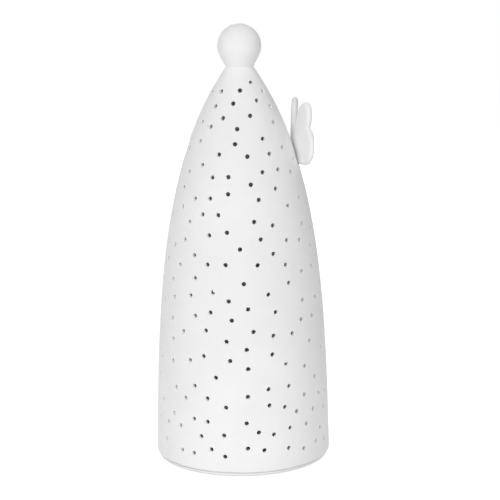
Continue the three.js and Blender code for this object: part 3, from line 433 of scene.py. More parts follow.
outside, inside = (
    [(robe_at(z)[face], z) for z in spread(HEM_Z + HEM_ROUND, NECK_Z, rings)]
    for face, rings in ((0, OUTER_RINGS), (1, INNER_RINGS))
)
outer_foot, inner_foot = outside[0][0], inside[0][0]
sole = [
    *arc(inner_foot + HEM_ROUND, HEM_Z + HEM_ROUND, HEM_ROUND, 180, 270, 4)[1:],
    *arc(outer_foot - HEM_ROUND, HEM_Z + HEM_ROUND, HEM_ROUND, 270, 360, 6)[:-1],
]
robe_wall = turned("robe_wall", outside + inside[::-1] + sole, ROBE_SIDES, closed=True)
print("Robe wall:", len(robe_wall.polygons), "faces before piercing")

# %% [markdown]
# The holes are pricked by hand through the leather-hard clay, one dart at a time: each keeps its
# distance from the others, closer near the hem and the neck than at the middle, and none falls
# under the wings. The same rule and the same seed as in the solid give the same holes here, so a
# real hole is where the light will pass.

# %% Scatter of holes
HOLE_RADIUS = 1.2
HOLE_SEED = 13960
HOLE_TRIES = 6000
LOWEST_HOLE = HEM_Z + 8.5
HIGHEST_HOLE = NECK_Z - 8
SPACING_ENDS = 7.5
SPACING_MIDDLE = 9.7
WING_ROOT_Z = NECK_Z - 42.1
UNDER_WINGS = (WING_ROOT_Z - 15, WING_ROOT_Z + 3, 15)  # from, to, half width


def draws(seed):
    """An endless even stream of numbers from 0 to 1, the same for a seed every time."""
    state = seed
    while True:
        state = (state * 1664525 + 1013904223) % 2 ** 32
        yield state / 2 ** 32


def scattered_holes():
    """Where each hole meets the robe, with the robe's slope there."""
    stream = draws(HOLE_SEED)
    holes = []
    for _ in range(HOLE_TRIES):
        z = LOWEST_HOLE + (HIGHEST_HOLE - LOWEST_HOLE) * next(stream)
        bearing = 2 * math.pi * next(stream)
        radius, _, slope = robe_at(z)
        if next(stream) * HEM_RADIUS > radius:
            continue
        spot = Vector((radius * math.cos(bearing), radius * math.sin(bearing), z))
        low, high, half = UNDER_WINGS
        if spot.y > 0 and abs(spot.x) < half and low < z < high:
            continue
        rise = math.sin(math.pi * (z - HEM_Z) / ROBE_HEIGHT)
        spacing = SPACING_ENDS + (SPACING_MIDDLE - SPACING_ENDS) * rise
        if all((spot - other).length >= spacing for other, _ in holes):
            holes.append((spot, slope))
    return holes


holes = scattered_holes()
print("Holes:", len(holes))

# %% [markdown]
# Piercing is a rule over a surface, so Geometry Nodes does it. The tree stands a bore on every hole
# point, level and square to the axis as the pricking tool was held and a little wider towards the
# inside, where the burr was reamed away, and a small cone that softens the rim as a wet sponge does.
# The Manifold solver takes both sets out of the wall in a moment.

# %% Geometry Nodes helpers
def new_tree(name, sockets):
    """A Geometry Nodes tree with named inputs; returns it with the outputs of its input node."""
    tree = bpy.data.node_groups.new(name, "GeometryNodeTree")
    for label, kind in sockets.items():
        tree.interface.new_socket(label, in_out="INPUT", socket_type=f"NodeSocket{kind}")
    tree.interface.new_socket("Result", in_out="OUTPUT", socket_type="NodeSocketGeometry")
    return tree, add_node(tree, "NodeGroupInput").outputs


def stored(tree, name):
    """The vector that is stored on each point under a name."""
    kind = "GeometryNodeInputNamedAttribute"
    return add_node(tree, kind, {"Name": name}, data_type="FLOAT_VECTOR")


def copies(tree, spots, shape, rotation):
    """Real copies of a shape on points, each with its own rotation."""
    instances = add_node(tree, "GeometryNodeInstanceOnPoints", {
        "Points": spots, "Instance": shape, "Rotation": rotation,
    })
    return add_node(tree, "GeometryNodeRealizeInstances", {"Geometry": instances})


def wire_along(tree, line, radius, sides):
    """A round wire of a radius along a curve, closed at both ends."""
    section = add_node(
        tree, "GeometryNodeCurvePrimitiveCircle", {"Resolution": sides, "Radius": radius},
    )
    return add_node(tree, "GeometryNodeCurveToMesh", {
        "Curve": line, "Profile Curve": section, "Fill Caps": True,
    })


def end_tree(tree, entry, geometry):
    """Gives the geometry the tree's finish and hands it out."""
    dressed = add_node(tree, "GeometryNodeSetMaterial", {
        "Geometry": geometry, "Material": entry["Finish"],
    })
    add_node(tree, "NodeGroupOutput", {"Result": dressed})
    print(f"Tree {tree.name}: {len(tree.nodes)} nodes")


def settled(holder):
    """The plain mesh that an object's curve or modifiers make; the object itself goes."""
    scene.collection.objects.link(holder)
    seen = holder.evaluated_get(bpy.context.evaluated_depsgraph_get())
    mesh = bpy.data.meshes.new_from_object(seen)
    bpy.data.objects.remove(holder)
    return mesh


def grown(tree, start, **values):
    """The plain mesh that a tree makes from a start mesh and the values of its inputs."""
    holder = bpy.data.objects.new(tree.name, start)
    modifier = holder.modifiers.new(tree.name, "NODES")
    modifier.node_group = tree
    sockets = {socket.name: socket.identifier for socket in tree.interface.items_tree}
    for label, value in values.items():
        modifier[sockets[label.replace("_", " ")]] = value
    return settled(holder)


def points(name, spots, **vectors):
    """A mesh of loose points, in mm, with a named vector on each."""
    mesh = bpy.data.meshes.new(name)
    mesh.from_pydata([Vector(spot) * MM for spot in spots], [], [])
    for label, values in vectors.items():
        data = mesh.attributes.new(label, "FLOAT_VECTOR", "POINT").data
        data.foreach_set("vector", [number for value in values for number in value])
    return mesh


def hidden(mesh):
    """Holds a mesh in an object that is not in the scene, for a tree or modifier to read."""
    return bpy.data.objects.new(mesh.name, mesh)


# %% Piercing tree
piercing, entry = new_tree("pierced_wall", {
    "Holes": "Geometry", "Wall": "Object", "Bore Radius": "Float", "Bore Length": "Float",
    "Flare": "Float", "Rim": "Float", "Sides": "Int", "Finish": "Material",
})
taper = add_node(piercing, "GeometryNodeMeshCone", {
    "Vertices": entry["Sides"], "Depth": entry["Bore Length"],
    "Radius Bottom": maths(piercing, "ADD", entry["Bore Radius"], entry["Flare"]),
    "Radius Top": maths(piercing, "SUBTRACT", entry["Bore Radius"], entry["Flare"]),
})
half_back = maths(piercing, "MULTIPLY", entry["Bore Length"], -0.5)
bore = add_node(piercing, "GeometryNodeTransform", {
    "Geometry": taper, "Translation": add_node(piercing, "ShaderNodeCombineXYZ", {"Z": half_back}),
})
rim_reach = maths(piercing, "MULTIPLY", entry["Rim"], 2.0)
rim = add_node(piercing, "GeometryNodeMeshCone", {
    "Vertices": entry["Sides"], "Radius Bottom": entry["Bore Radius"],
    "Radius Top": maths(piercing, "ADD", entry["Bore Radius"], rim_reach), "Depth": rim_reach,
})
wall = add_node(piercing, "GeometryNodeObjectInfo", {"Object": entry["Wall"]}).outputs["Geometry"]
for way, cutter in (("bore_way", bore), ("rim_way", rim)):
    aim = add_node(
        piercing, "FunctionNodeAlignRotationToVector", {"Vector": stored(piercing, way)}, axis="Z",
    )
    tools = copies(piercing, entry["Holes"], cutter, aim)
    wall = add_node(
        piercing, "GeometryNodeMeshBoolean", {0: wall, 1: tools},
        operation="DIFFERENCE", solver="MANIFOLD",
    )
end_tree(piercing, entry, wall)

# %% [markdown]
# A finished mesh becomes a piece of the object here: it goes into the scene and rides on a body in place
# of the solids that it dresses. The robe comes first. Its faces then get their finish by the way they
# look: outwards, inwards, or across the wall, as the holes' own walls do.

# %% Pierced robe
BORE_LENGTH = 9.0
BORE_FLARE = 0.13
RIM_SOFTNESS = 0.22
BORE_SIDES = 18
ROBE_CREASE = 28
LOOKS_IN = -0.5  # a face's outward look, from -1 to 1
LOOKS_ACROSS = 0.35
HOLES_FROM = LOWEST_HOLE - 3


def show(name, mesh, body, slot, replaced, *finishes):
    """Puts a finished mesh in the scene as a piece that rides on a body in place of CAD nodes."""
    piece = bpy.data.objects.new(name, mesh)
    scene.collection.objects.link(piece)
    if finishes:
        mesh.materials.clear()
        for material in finishes:
            mesh.materials.append(material)
    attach(piece, body)
    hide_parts(*replaced)
    triangles = sum(len(face.vertices) - 2 for face in mesh.polygons)
    print(f"{name}: {triangles} triangles on {body}, for {', '.join(replaced)}")


outward = [Vector((spot.x, spot.y, 0)).normalized() for spot, _ in holes]
square = [(way + UP * slope).normalized() for way, (_, slope) in zip(outward, holes)]
hole_points = points(
    "hole_points",
    [spot - way * RIM_SOFTNESS for way, (spot, _) in zip(square, holes)],
    bore_way=outward, rim_way=square,
)
robe_mesh = grown(
    piercing, hole_points, Wall=hidden(robe_wall), Bore_Radius=HOLE_RADIUS * MM,
    Bore_Length=BORE_LENGTH * MM, Flare=BORE_FLARE * BORE_LENGTH / 2 * MM, Rim=RIM_SOFTNESS * MM,
    Sides=BORE_SIDES, Finish=bisque,
)
smoothed(robe_mesh, ROBE_CREASE)
show("pierced_robe", robe_mesh, "figure", "bisque", ["robe_shell"], bisque, inside_painted_shade_and_glow, bore_painted_light)
# Faces looking inwards take the inside finish with painted shade and glow; faces across the wall take the
# paler finish of the holes, with painted light.
for face in robe_mesh.polygons:
    level_out = Vector((face.center.x, face.center.y, 0)).normalized()
    look = face.normal.dot(level_out)
    bored = look < LOOKS_ACROSS and face.center.z > HOLES_FROM * MM
    face.material_index = 1 if look < LOOKS_IN else 2 if bored else 0
for number, place in enumerate(("outside", "inside", "hole walls")):
    count = sum(face.material_index == number for face in robe_mesh.polygons)
    print(f"Robe faces on the {place}: {count}")

# %% [markdown]
# The head is a plain ball drawn out to a short cone below, cast by itself and luted into the neck
# with slip. The joint is wiped with a wet finger, so head and robe meet in a soft crease. A smooth
# maximum of the two profiles gives that fillet, and the piece laps a little over the robe's top.

# %% Head
HEAD_RADIUS = 12.1
HEAD_Z = extent("head")[1].z - HEAD_RADIUS
HEAD_FOOT_RADIUS = 6.0
LAP = 0.8
CREASE = 0.12
HEAD_SIDES = 96
NECK_RINGS, BALL_RINGS = 28, 40

cone_drop = HEAD_Z - NECK_Z
cone_reach = math.hypot(NECK_RADIUS, cone_drop)
tangent = math.asin(HEAD_RADIUS / cone_reach) - math.atan2(NECK_RADIUS, cone_drop)
touch_z = HEAD_Z - HEAD_RADIUS * math.sin(tangent)
touch_radius = HEAD_RADIUS * math.cos(tangent)


def up_cone(height):
    """How far up the cone a height is, from 0 at the neck to 1 where it meets the ball."""
    return (height - NECK_Z) / (touch_z - NECK_Z)


def joined(height):
    """The soft outline of robe and head together, up to where the cone meets the ball."""
    slope = robe_at(NECK_Z)[2]
    a = robe_at(height)[0] if height < NECK_Z else NECK_RADIUS - slope * (height - NECK_Z)
    b = NECK_RADIUS + (touch_radius - NECK_RADIUS) * up_cone(height)
    return (a + b + math.sqrt((a - b) ** 2 + 4 * CREASE ** 2)) / 2


excess = joined(touch_z) - touch_radius
head_mesh = turned("head", [
    (0.0, NECK_Z - LAP), (HEAD_FOOT_RADIUS, NECK_Z - LAP),
    *[
        (joined(z) - excess * max(0.0, up_cone(z)), z)
        for z in spread(NECK_Z - LAP, touch_z, NECK_RINGS)
    ],
    *arc(0, HEAD_Z, HEAD_RADIUS, -math.degrees(tangent), 90, BALL_RINGS)[1:-1],
    (0.0, HEAD_Z + HEAD_RADIUS),
], HEAD_SIDES)
show("plain_head", smoothed(head_mesh), "figure", "bisque", ["head"], bisque)

# %% [markdown]
# Each wing is a little slab with two lobes, pressed in a mould and wiped round at its edges, then
# luted to the back. Blender's flat curves suit that: a filled outline with an extrusion and a round
# bevel gives the soft edge all round. The slab is then swept back and fitted to the robe.

# %% Outline, block and cutting helpers
SAME_SPOT = 1e-6  # m


def carved(mesh, *cutters, operation="DIFFERENCE"):
    """The mesh after other meshes are taken out of it, or joined to it, in turn."""
    holder = bpy.data.objects.new("carving", mesh)
    for cutter in cutters:
        step = holder.modifiers.new("cut", "BOOLEAN")
        step.operation, step.solver, step.object = operation, "MANIFOLD", hidden(cutter)
    return settled(holder)


def block(low, high, bevel=0.0, spin=0.0):
    """A box between two corners in mm, with its edges rounded and turned about Z if asked."""
    work = bmesh.new()
    bmesh.ops.create_cube(work, size=1)
    for vertex in work.verts:
        vertex.co = Vector([
            (a + (b - a) * (c + 0.5)) * MM for a, b, c in zip(low, high, vertex.co)
        ])
    if bevel:
        bmesh.ops.bevel(
            work, geom=work.edges[:], offset=bevel * MM, segments=3, profile=0.5, affect="EDGES",
        )
    bmesh.ops.rotate(work, verts=work.verts, matrix=Matrix.Rotation(spin, 3, "Z"))
    return to_mesh(work, bpy.data.meshes.new("block"))


def post(radius, low, high, x, y, sides=40):
    """A round post or bore between two heights, in mm."""
    mesh = turned("post", [(0, low), (radius, low), (radius, high), (0, high)], sides)
    mesh.transform(Matrix.Translation(Vector((x, y, 0)) * MM))
    return mesh


def slab(name, outline, thickness, edge, reach):
    """A slab from an outline in mm, whose edge rounds off over a reach and down by an edge height."""
    squeeze = edge / reach
    curve = bpy.data.curves.new(name, "CURVE")
    curve.dimensions, curve.fill_mode = "2D", "BOTH"
    curve.extrude, curve.offset = (thickness / 2 - edge) / squeeze * MM, -reach * MM
    curve.bevel_depth, curve.bevel_resolution = reach * MM, 6
    spline = curve.splines.new("POLY")
    spline.points.add(len(outline) - 1)
    for point, (x, y) in zip(spline.points, outline):
        point.co = (x * MM, y * MM, 0, 1)
    spline.use_cyclic_u = True
    mesh = settled(bpy.data.objects.new(name, curve))
    work = from_mesh(mesh)
    bmesh.ops.remove_doubles(work, verts=work.verts, dist=SAME_SPOT)
    bmesh.ops.recalc_face_normals(work, faces=work.faces)
    bmesh.ops.scale(work, verts=work.verts, vec=(1, 1, squeeze))
    return to_mesh(work, mesh)


# %% Wings
WING_THICKNESS = 3.6
WING_EDGE = 1.6
WING_EDGE_REACH = 2.4
WING_SWEEP = math.radians(14.25)
WING_INSET = 4.0
UPPER_REACH, UPPER_RISE = 22.4, 23.0
WAIST_REACH, WAIST_RISE = 20.4, 9.4
LOWER_REACH, LOWER_DROP = 26.0, 12.0
WING_ROOT_Y = robe_at(WING_ROOT_Z)[0] + 1.1
WING_STEPS = 18
FLUSH = 0.1
FAR = 100.0

root = (2.6, 0.0)
top = (0.78 * UPPER_REACH, UPPER_RISE)
waist = (WAIST_REACH, WAIST_RISE)
tip = (LOWER_REACH, 0.0)
bottom = (0.57 * LOWER_REACH, -LOWER_DROP)
between_lobes = (2 * WAIST_REACH + LOWER_REACH) / 3
wing_curves = [
    (root, (0.36 * top[0], 0.53 * UPPER_RISE), (0.5 * top[0], UPPER_RISE), top),
    (top, (UPPER_REACH, UPPER_RISE), (1.08 * UPPER_REACH, (UPPER_RISE + WAIST_RISE) / 2), waist),
    (waist, (between_lobes, 0.9 * WAIST_RISE), (LOWER_REACH, 0.55 * WAIST_RISE), tip),
    (tip, (LOWER_REACH, -0.58 * LOWER_DROP), (0.84 * LOWER_REACH, -LOWER_DROP), bottom),
]
wing_outline = [
    (-WING_INSET, -LOWER_DROP), (-WING_INSET, root[1]), root,
    *[
        tuple(sum(w * spot[axis] for w, spot in zip(cubic(share), curve)) for axis in (0, 1))
        for curve in wing_curves for share in spread(0, 1, WING_STEPS)[1:]
    ],
]
core = turned("robe_core", [
    (0.0, outside[0][1]), *[(r - FLUSH, z) for r, z in outside], (0.0, NECK_Z),
], ROBE_SIDES)

for side, name, node in ((1, "right_wing", "wing_right"), (-1, "left_wing", "wing_left")):
    wing = slab(name, wing_outline, WING_THICKNESS, WING_EDGE, WING_EDGE_REACH)
    upright = Matrix.Rotation(math.pi / 2, 4, "X")
    facing = Matrix.Rotation(WING_SWEEP if side > 0 else math.pi - WING_SWEEP, 4, "Z")
    spot = Matrix.Translation(Vector((0, WING_ROOT_Y, WING_ROOT_Z)) * MM)
    wing.transform(spot @ facing @ upright)
    other_half = block(
        (-FAR * (1 + side), -FAR, WING_ROOT_Z - FAR), (FAR * (1 - side), FAR, WING_ROOT_Z + FAR),
    )
    show(name, smoothed(carved(wing, core, other_half)), "figure", "bisque", [node], bisque)

# %% [markdown]
# Under the hem sits the light's own base, moulded in white plastic. Its plate is turned like the
# robe, with a narrow ledge that the hem stands on, so that a dark seam is left in front of it. Then
# the things that a mould would core out are taken away: the battery opening, the pockets for the
# feet, the slot for the knob and the notches for the grip pads. ABS straight from a
# spark-finished mould is white with a low, even sheen; the spark texture is about 0.05 mm and is
# drawn coarser here so that it shows.

# %% Moulded white plastic
white_abs = finish(
    "moulded_white_abs", ("#ECECEA", "#F0F0EE"), 0.48, patch=40, grain=0.7, depth=0.012,
    IOR=1.53, Specular_IOR_Level=0.4,
)

# %% Plate
SEAT_GAP = 0.3
plate_low, plate_high, _ = extent("base_plate")
PLATE_RADIUS, PLATE_BOTTOM, COLLAR_TOP = plate_high.x, plate_low.z, plate_high.z
PLATE_TOP = HEM_Z - SEAT_GAP
FLANGE_TOP = PLATE_TOP - 0.5
LEDGE_RADIUS = HEM_RADIUS - 1.6
COLLAR_OUTER = robe_at(COLLAR_TOP)[1] - 0.8
COLLAR_INNER = COLLAR_OUTER - 1.8
EDGE_ROUND, FLANGE_ROUND, COLLAR_ROUND = 1.0, 0.2, 0.4
PLATE_SIDES = 160
PLATE_CREASE = 30
BAY_HALF_X, BAY_HALF_Y = 24.3, 17.75
FINGER_RADIUS = 5.0
SWITCH_Y = extent("switch_body")[2].y
SWITCH_TOP = extent("switch_body")[1].z - 2.5
SWITCH_BOSS_TOP = SWITCH_TOP - 1.8
TRAY_BOSS_RADIUS, SWITCH_BOSS_RADIUS = 3.0, 2.4
PILOT_RADIUS, PILOT_DEPTH, PILOT_SIDES = 1.3, 3.5, 20
POCKET_RADIUS, POCKET_TOP = 4.3, 1.5
SLOT_HALF_X, SLOT_HALF_Y = 3.8, 1.5
DISH_RIM, DISH_TOP, DISH_ROUND = 3.0, 2.0, 0.8
NOTCH_FROM, NOTCH_TO, NOTCH_HALF = 43, 49, 4.3
GRIP_BEARINGS = [math.radians(bearing) for bearing in (0, 120, 240)]
PAST = 1.0  # how far a cutter or a boss runs past the face that it starts from
THROUGH = 5.0  # a height over the plate, for cutters that go right through it


def places(nodes):
    """Where solids stand, as (x, y) in mm."""
    return [tuple(extent(node)[2].xy) for node in nodes]


FEET = numbered("foot_pad", 4)
switch_bosses = places(numbered("switch_screw", 2))
bosses = [
    *[(*place, TRAY_BOSS_RADIUS, COLLAR_TOP) for place in places(numbered("tray_screw", 4))],
    *[(*place, SWITCH_BOSS_RADIUS, SWITCH_BOSS_TOP) for place in switch_bosses],
]
plate = turned("plate", [
    (0, PLATE_BOTTOM),
    *arc(PLATE_RADIUS - EDGE_ROUND, PLATE_BOTTOM + EDGE_ROUND, EDGE_ROUND, -90, 0, 8),
    *arc(PLATE_RADIUS - FLANGE_ROUND, FLANGE_TOP - FLANGE_ROUND, FLANGE_ROUND, 0, 90, 4),
    (LEDGE_RADIUS, FLANGE_TOP), (LEDGE_RADIUS, PLATE_TOP), (COLLAR_OUTER, PLATE_TOP),
    *arc(COLLAR_OUTER - COLLAR_ROUND, COLLAR_TOP - COLLAR_ROUND, COLLAR_ROUND, 0, 90, 4),
    *arc(COLLAR_INNER + COLLAR_ROUND, COLLAR_TOP - COLLAR_ROUND, COLLAR_ROUND, 90, 180, 4),
    (COLLAR_INNER, PLATE_TOP), (0, PLATE_TOP),
], PLATE_SIDES)
plate = carved(
    plate, *[post(radius, PLATE_TOP - PAST, high, x, y) for x, y, radius, high in bosses],
    operation="UNION",
)
plate = carved(
    plate,
    *[post(PILOT_RADIUS, high - PILOT_DEPTH, COLLAR_TOP + PAST, x, y, sides=PILOT_SIDES)
      for x, y, _, high in bosses],
    *[post(POCKET_RADIUS, 0, POCKET_TOP, x, y) for x, y in places(FEET)],
    *[block((NOTCH_FROM, -NOTCH_HALF, HEM_Z), (NOTCH_TO, NOTCH_HALF, COLLAR_TOP + PAST), spin=bearing)
      for bearing in GRIP_BEARINGS],
    block((-BAY_HALF_X, -BAY_HALF_Y, -PAST), (BAY_HALF_X, BAY_HALF_Y, THROUGH)),
    block(
        (-SLOT_HALF_X, SWITCH_Y - SLOT_HALF_Y, -PAST), (SLOT_HALF_X, SWITCH_Y + SLOT_HALF_Y, THROUGH),
    ),
    block(
        (-SLOT_HALF_X - DISH_RIM, SWITCH_Y - SLOT_HALF_Y - DISH_RIM, -PAST),
        (SLOT_HALF_X + DISH_RIM, SWITCH_Y + SLOT_HALF_Y + DISH_RIM, DISH_TOP), bevel=DISH_ROUND,
    ),
    post(FINGER_RADIUS, -PAST, DISH_TOP, 0, BAY_HALF_Y),
)
show("turned_plate", smoothed(plate, PLATE_CREASE), "base", "white_plastic", ["base_plate"], white_abs)

# %% [markdown]
# Some moulded parts already have the right shape in the solid, but a real moulding has no knife
# edges: the mould's corners are rounded so that plastic flows and lets go. A copy of the solid gets
# its loose triangles merged, its flat faces cleaned and its edges rounded by a small bevel.

# %% Softened copies of solids
FLAT = math.radians(0.5)
SHARP = math.radians(25)
SOFT_CREASE = 40


def softened(node, width):
    """A copy of a CAD node's mesh with its sharp edges rounded by a width in mm."""
    work = from_mesh(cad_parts[node].data)
    bmesh.ops.remove_doubles(work, verts=work.verts, dist=SAME_SPOT)
    bmesh.ops.dissolve_limit(work, angle_limit=FLAT, verts=work.verts, edges=work.edges)
    sharp = [
        edge for edge in work.edges
        if len(edge.link_faces) == 2 and edge.calc_face_angle() > SHARP
    ]
    bmesh.ops.bevel(
        work, geom=sharp, offset=width * MM, segments=2, profile=0.5, affect="EDGES",
        clamp_overlap=True,
    )
    return smoothed(to_mesh(work, bpy.data.meshes.new(node)), SOFT_CREASE)


for name, node, body, width in (
    ("moulded_tray", "battery_tray", "base", 0.25), ("flap_door", "battery_door", "door", 0.2),
):
    show(name, softened(node, width), body, "white_plastic", [node], white_abs)

# %% [markdown]
# Small bought parts come in sets: four feet, three grip pads, eight screws, three cells, three
# lamps and three resistors. Each set is one shape copied onto points by a Geometry Nodes tree, with
# the turn of each copy stored on its point.

# %% Copying tree
def stored_rotation(tree):
    """The rotation of each point, from the Euler angles that are stored on it as its turn."""
    return add_node(tree, "FunctionNodeEulerToRotation", {"Euler": stored(tree, "turn")})


copying, entry = new_tree("copies_on_points", {
    "Points": "Geometry", "Shape": "Object", "Finish": "Material",
})
shape = add_node(copying, "GeometryNodeObjectInfo", {"Object": entry["Shape"]}).outputs["Geometry"]
end_tree(copying, entry, copies(copying, entry["Points"], shape, stored_rotation(copying)))


def show_set(name, shape_mesh, slot, nodes, spots, turns, material, crease=38):
    """Shows a set of the base's pieces: copies of a shape at spots in mm, turned by Euler angles."""
    set_out = points("spots", spots, turn=turns)
    mesh = grown(copying, set_out, Shape=hidden(shape_mesh), Finish=material)
    show(name, smoothed(mesh, crease), "base", slot, nodes)


# %% [markdown]
# The feet and the grip pads are cast silicone: milky, soft-edged, with a dull skin that takes on
# dust. The grip pads have three upright ribs that give a little when the robe is pushed on.

# %% Feet and grip pads
GRIP_DEPTH, GRIP_WIDTH, GRIP_HEIGHT = 2.4, 8.0, 4.4
GRIP_ROUND = 0.35
RIB_SPOTS, RIB_HALF, RIB_FROM, RIB_ROUND = (-2.3, 0.0, 2.3), 0.6, 0.2, 0.3
UNTURNED = (0, 0, 0)

silicone = finish(
    "cast_silicone", ("#D3D3D0", "#DCDCD9"), 0.62, patch=6, grain=0.5, depth=0.01,
    IOR=1.41, Subsurface_Weight=0.15, Subsurface_Scale=0.001,
)
foot = turned("foot", [
    (0, 0.15), (1.6, 0.15), (1.9, 0.0), *arc(3.5, 0.5, 0.5, -90, 0, 5),
    *arc(3.7, 0.9, 0.3, 0, 90, 3), (0, 1.2),
], sides=40)
foot_spots = [(x, y, 0) for x, y in places(FEET)]
show_set("soft_feet", foot, "silicone", FEET, foot_spots, [UNTURNED] * len(FEET), silicone)

grip = carved(
    block(
        (-GRIP_DEPTH / 2, -GRIP_WIDTH / 2, -GRIP_HEIGHT / 2),
        (GRIP_DEPTH / 2 - GRIP_ROUND, GRIP_WIDTH / 2, GRIP_HEIGHT / 2), bevel=GRIP_ROUND,
    ),
    *[
        block(
            (RIB_FROM, y - RIB_HALF, RIB_ROUND - GRIP_HEIGHT / 2),
            (GRIP_DEPTH / 2, y + RIB_HALF, GRIP_HEIGHT / 2 - RIB_ROUND), bevel=RIB_ROUND,
        )
        for y in RIB_SPOTS
    ],
    operation="UNION",
)
grip_centre = extent("grip_pad_1")[2]
grip_spots = [
    (grip_centre.x * math.cos(b), grip_centre.x * math.sin(b), grip_centre.z) for b in GRIP_BEARINGS
]
grip_turns = [(0, 0, b) for b in GRIP_BEARINGS]
show_set(
    "grip_blocks", grip, "silicone", numbered("grip_pad", 3), grip_spots, grip_turns, silicone,
)

# %% [markdown]
# The screws are small zinc-plated pan heads with a cross recess. Zinc plate is a cool grey metal
# with a soft, slightly cloudy shine. The nickel on the contacts is brighter and a touch warmer.

# %% Screws
SCREW_HEAD = 1.4
RECESS_LONG, RECESS_HALF, RECESS_FLOOR, RECESS_TOP = 1.15, 0.2, 0.55, 2.0
SCREW_TURN = 0.7  # each stops at its own angle, this much on from the one before
SCREWS = numbered("tray_screw", 4) + numbered("board_screw", 2) + numbered("switch_screw", 2)

zinc_steel = finish(
    "zinc_plated_steel", ("#B4B6B9", "#C2C3C5"), 0.34, patch=3, grain=0.25, depth=0.004,
    Metallic=1.0,
)
nickel = finish(
    "nickel_plated_steel", ("#C6C1B7", "#D2CDC4"), 0.24, patch=4, grain=0.3, depth=0.004,
    Metallic=1.0,
)
screw = turned("screw", [
    (0, -5.1), (0.25, -5.0), (1.0, -4.1), (1.0, 0.0), (1.95, 0.0), (2.0, 0.06), (2.0, 0.45),
    *[(1.55 + 0.45 * math.cos(a), 0.45 + 0.5 * math.sin(a)) for a in (0.4, 0.8, 1.2)],
    (1.2, 1.18), (0.7, 1.35), (0, SCREW_HEAD),
], sides=32)
screw = carved(screw, *[
    block((-half_x, -half_y, RECESS_FLOOR), (half_x, half_y, RECESS_TOP))
    for half_x, half_y in ((RECESS_LONG, RECESS_HALF), (RECESS_HALF, RECESS_LONG))
])
screw_seats = [extent(node)[2].xy.to_3d() + UP * (extent(node)[1].z - SCREW_HEAD) for node in SCREWS]
screw_turns = [(0, 0, SCREW_TURN * number) for number in range(len(SCREWS))]
show_set("pan_screws", screw, "steel", SCREWS, screw_seats, screw_turns, zinc_steel, crease=30)

# %% [markdown]
# Three small cells lie head to tail in the tray. Each is a drawn steel can in a shrunk plastic
# sleeve, rolled over at both ends, with a raised nub. The sleeve is a plain dark green with a pale
# ring at the nub's end; the bare metal shows at both ends. The finish reads the height that the
# turning noted on the mesh, so that the ring follows the cell however it lies.

# %% Banded finish
SCUFF = 1.5
SCUFF_DRIFT = 0.08


def banded(name, bands, end, bare, roughness):
    """A finish that steps along the noted height; bands are (from mm, hex), and the bare hex is metal."""
    material, tree = new_material(name)
    start = bands[0][0]
    along = add_node(tree, "ShaderNodeAttribute", attribute_name="along")
    share = add_node(tree, "ShaderNodeMapRange", {
        "Value": along.outputs["Fac"], "From Min": start, "From Max": end,
    })
    steps = [((at - start) / (end - start), shade) for at, shade in bands]
    colour, metal = (
        colour_ramp(tree, share, [(at, look(shade)) for at, shade in steps], "CONSTANT")
        for look in (linear, lambda shade: grey(float(shade == bare)))
    )
    place = add_node(tree, "ShaderNodeTexCoord").outputs["Object"]
    scuff = add_node(tree, "ShaderNodeTexNoise", {
        "Vector": place, "Scale": 1 / (SCUFF * MM), "Detail": 3.0,
    })
    polish = add_node(tree, "ShaderNodeMapRange", {
        "Value": scuff, "To Min": roughness - SCUFF_DRIFT, "To Max": roughness + SCUFF_DRIFT,
    })
    shader = add_node(tree, "ShaderNodeBsdfPrincipled", {
        "Base Color": colour, "Roughness": polish, "Metallic": metal,
    })
    add_node(tree, "ShaderNodeOutputMaterial", {"Surface": shader})
    print(f"Finish {name}: {len(bands)} bands")
    return material


# %% Cells
CELL_LENGTH, CELL_RADIUS = 44.5, 5.25
CAN = "#BDBEC0"
BATTERIES = numbered("battery", 3)
FACINGS = (1, -1, 1)

cell_sleeve = banded(
    "cell_sleeve_film", [(-0.1, CAN), (0.55, "#37463F"), (37.0, "#C9CCC6"), (43.1, CAN)], 44.6,
    CAN, 0.32,
)
cell = turned("cell", [
    (0, 0.25), (3.6, 0.25), (3.9, 0.0), (4.5, 0.0), *arc(4.75, 0.5, 0.5, -60, 0, 4),
    (CELL_RADIUS, 0.7), (CELL_RADIUS, 36.9), (CELL_RADIUS, 37.1), (CELL_RADIUS, 43.0),
    *arc(4.75, 43.2, 0.5, 0, 90, 4), (4.0, 43.7), (3.8, 43.35), (2.3, 43.35), (1.9, 43.7),
    *arc(1.6, 44.2, 0.3, 0, 90, 3), (0, CELL_LENGTH),
], sides=48)
cell_ends = [
    extent(node)[2] - Vector((facing * CELL_LENGTH / 2, 0, 0))
    for node, facing in zip(BATTERIES, FACINGS)
]
along_bay = [(0, facing * math.pi / 2, 0) for facing in FACINGS]
show_set("cells", cell, "cell_sleeve", BATTERIES, cell_ends, along_bay, cell_sleeve, crease=35)

# %% [markdown]
# The contacts are strips of nickel-plated steel, and each cell is pressed on its contact by a
# conical spring. A spring follows a rule, so its tree draws a spiral and runs a round wire along it.

# %% Springs
SPRING_LENGTH, SPRING_WIRE = 4.2, 0.25
SPRING_BASE, SPRING_TIP, SPRING_CURLS = 3.2, 2.1, 3.0
POINTS_PER_CURL, SPRING_SIDES = 28, 10
WIRE_CREASE = 50

coiling, entry = new_tree("conical_spring", {
    "Ends": "Geometry", "Curls": "Float", "Base Radius": "Float", "Tip Radius": "Float",
    "Length": "Float", "Wire Radius": "Float", "Finish": "Material",
})
spiral = add_node(coiling, "GeometryNodeCurveSpiral", {
    "Resolution": POINTS_PER_CURL, "Rotations": entry["Curls"],
    "Start Radius": entry["Base Radius"], "End Radius": entry["Tip Radius"],
    "Height": entry["Length"],
})
spring_wire = wire_along(coiling, spiral, entry["Wire Radius"], SPRING_SIDES)
end_tree(coiling, entry, copies(coiling, entry["Ends"], spring_wire, stored_rotation(coiling)))

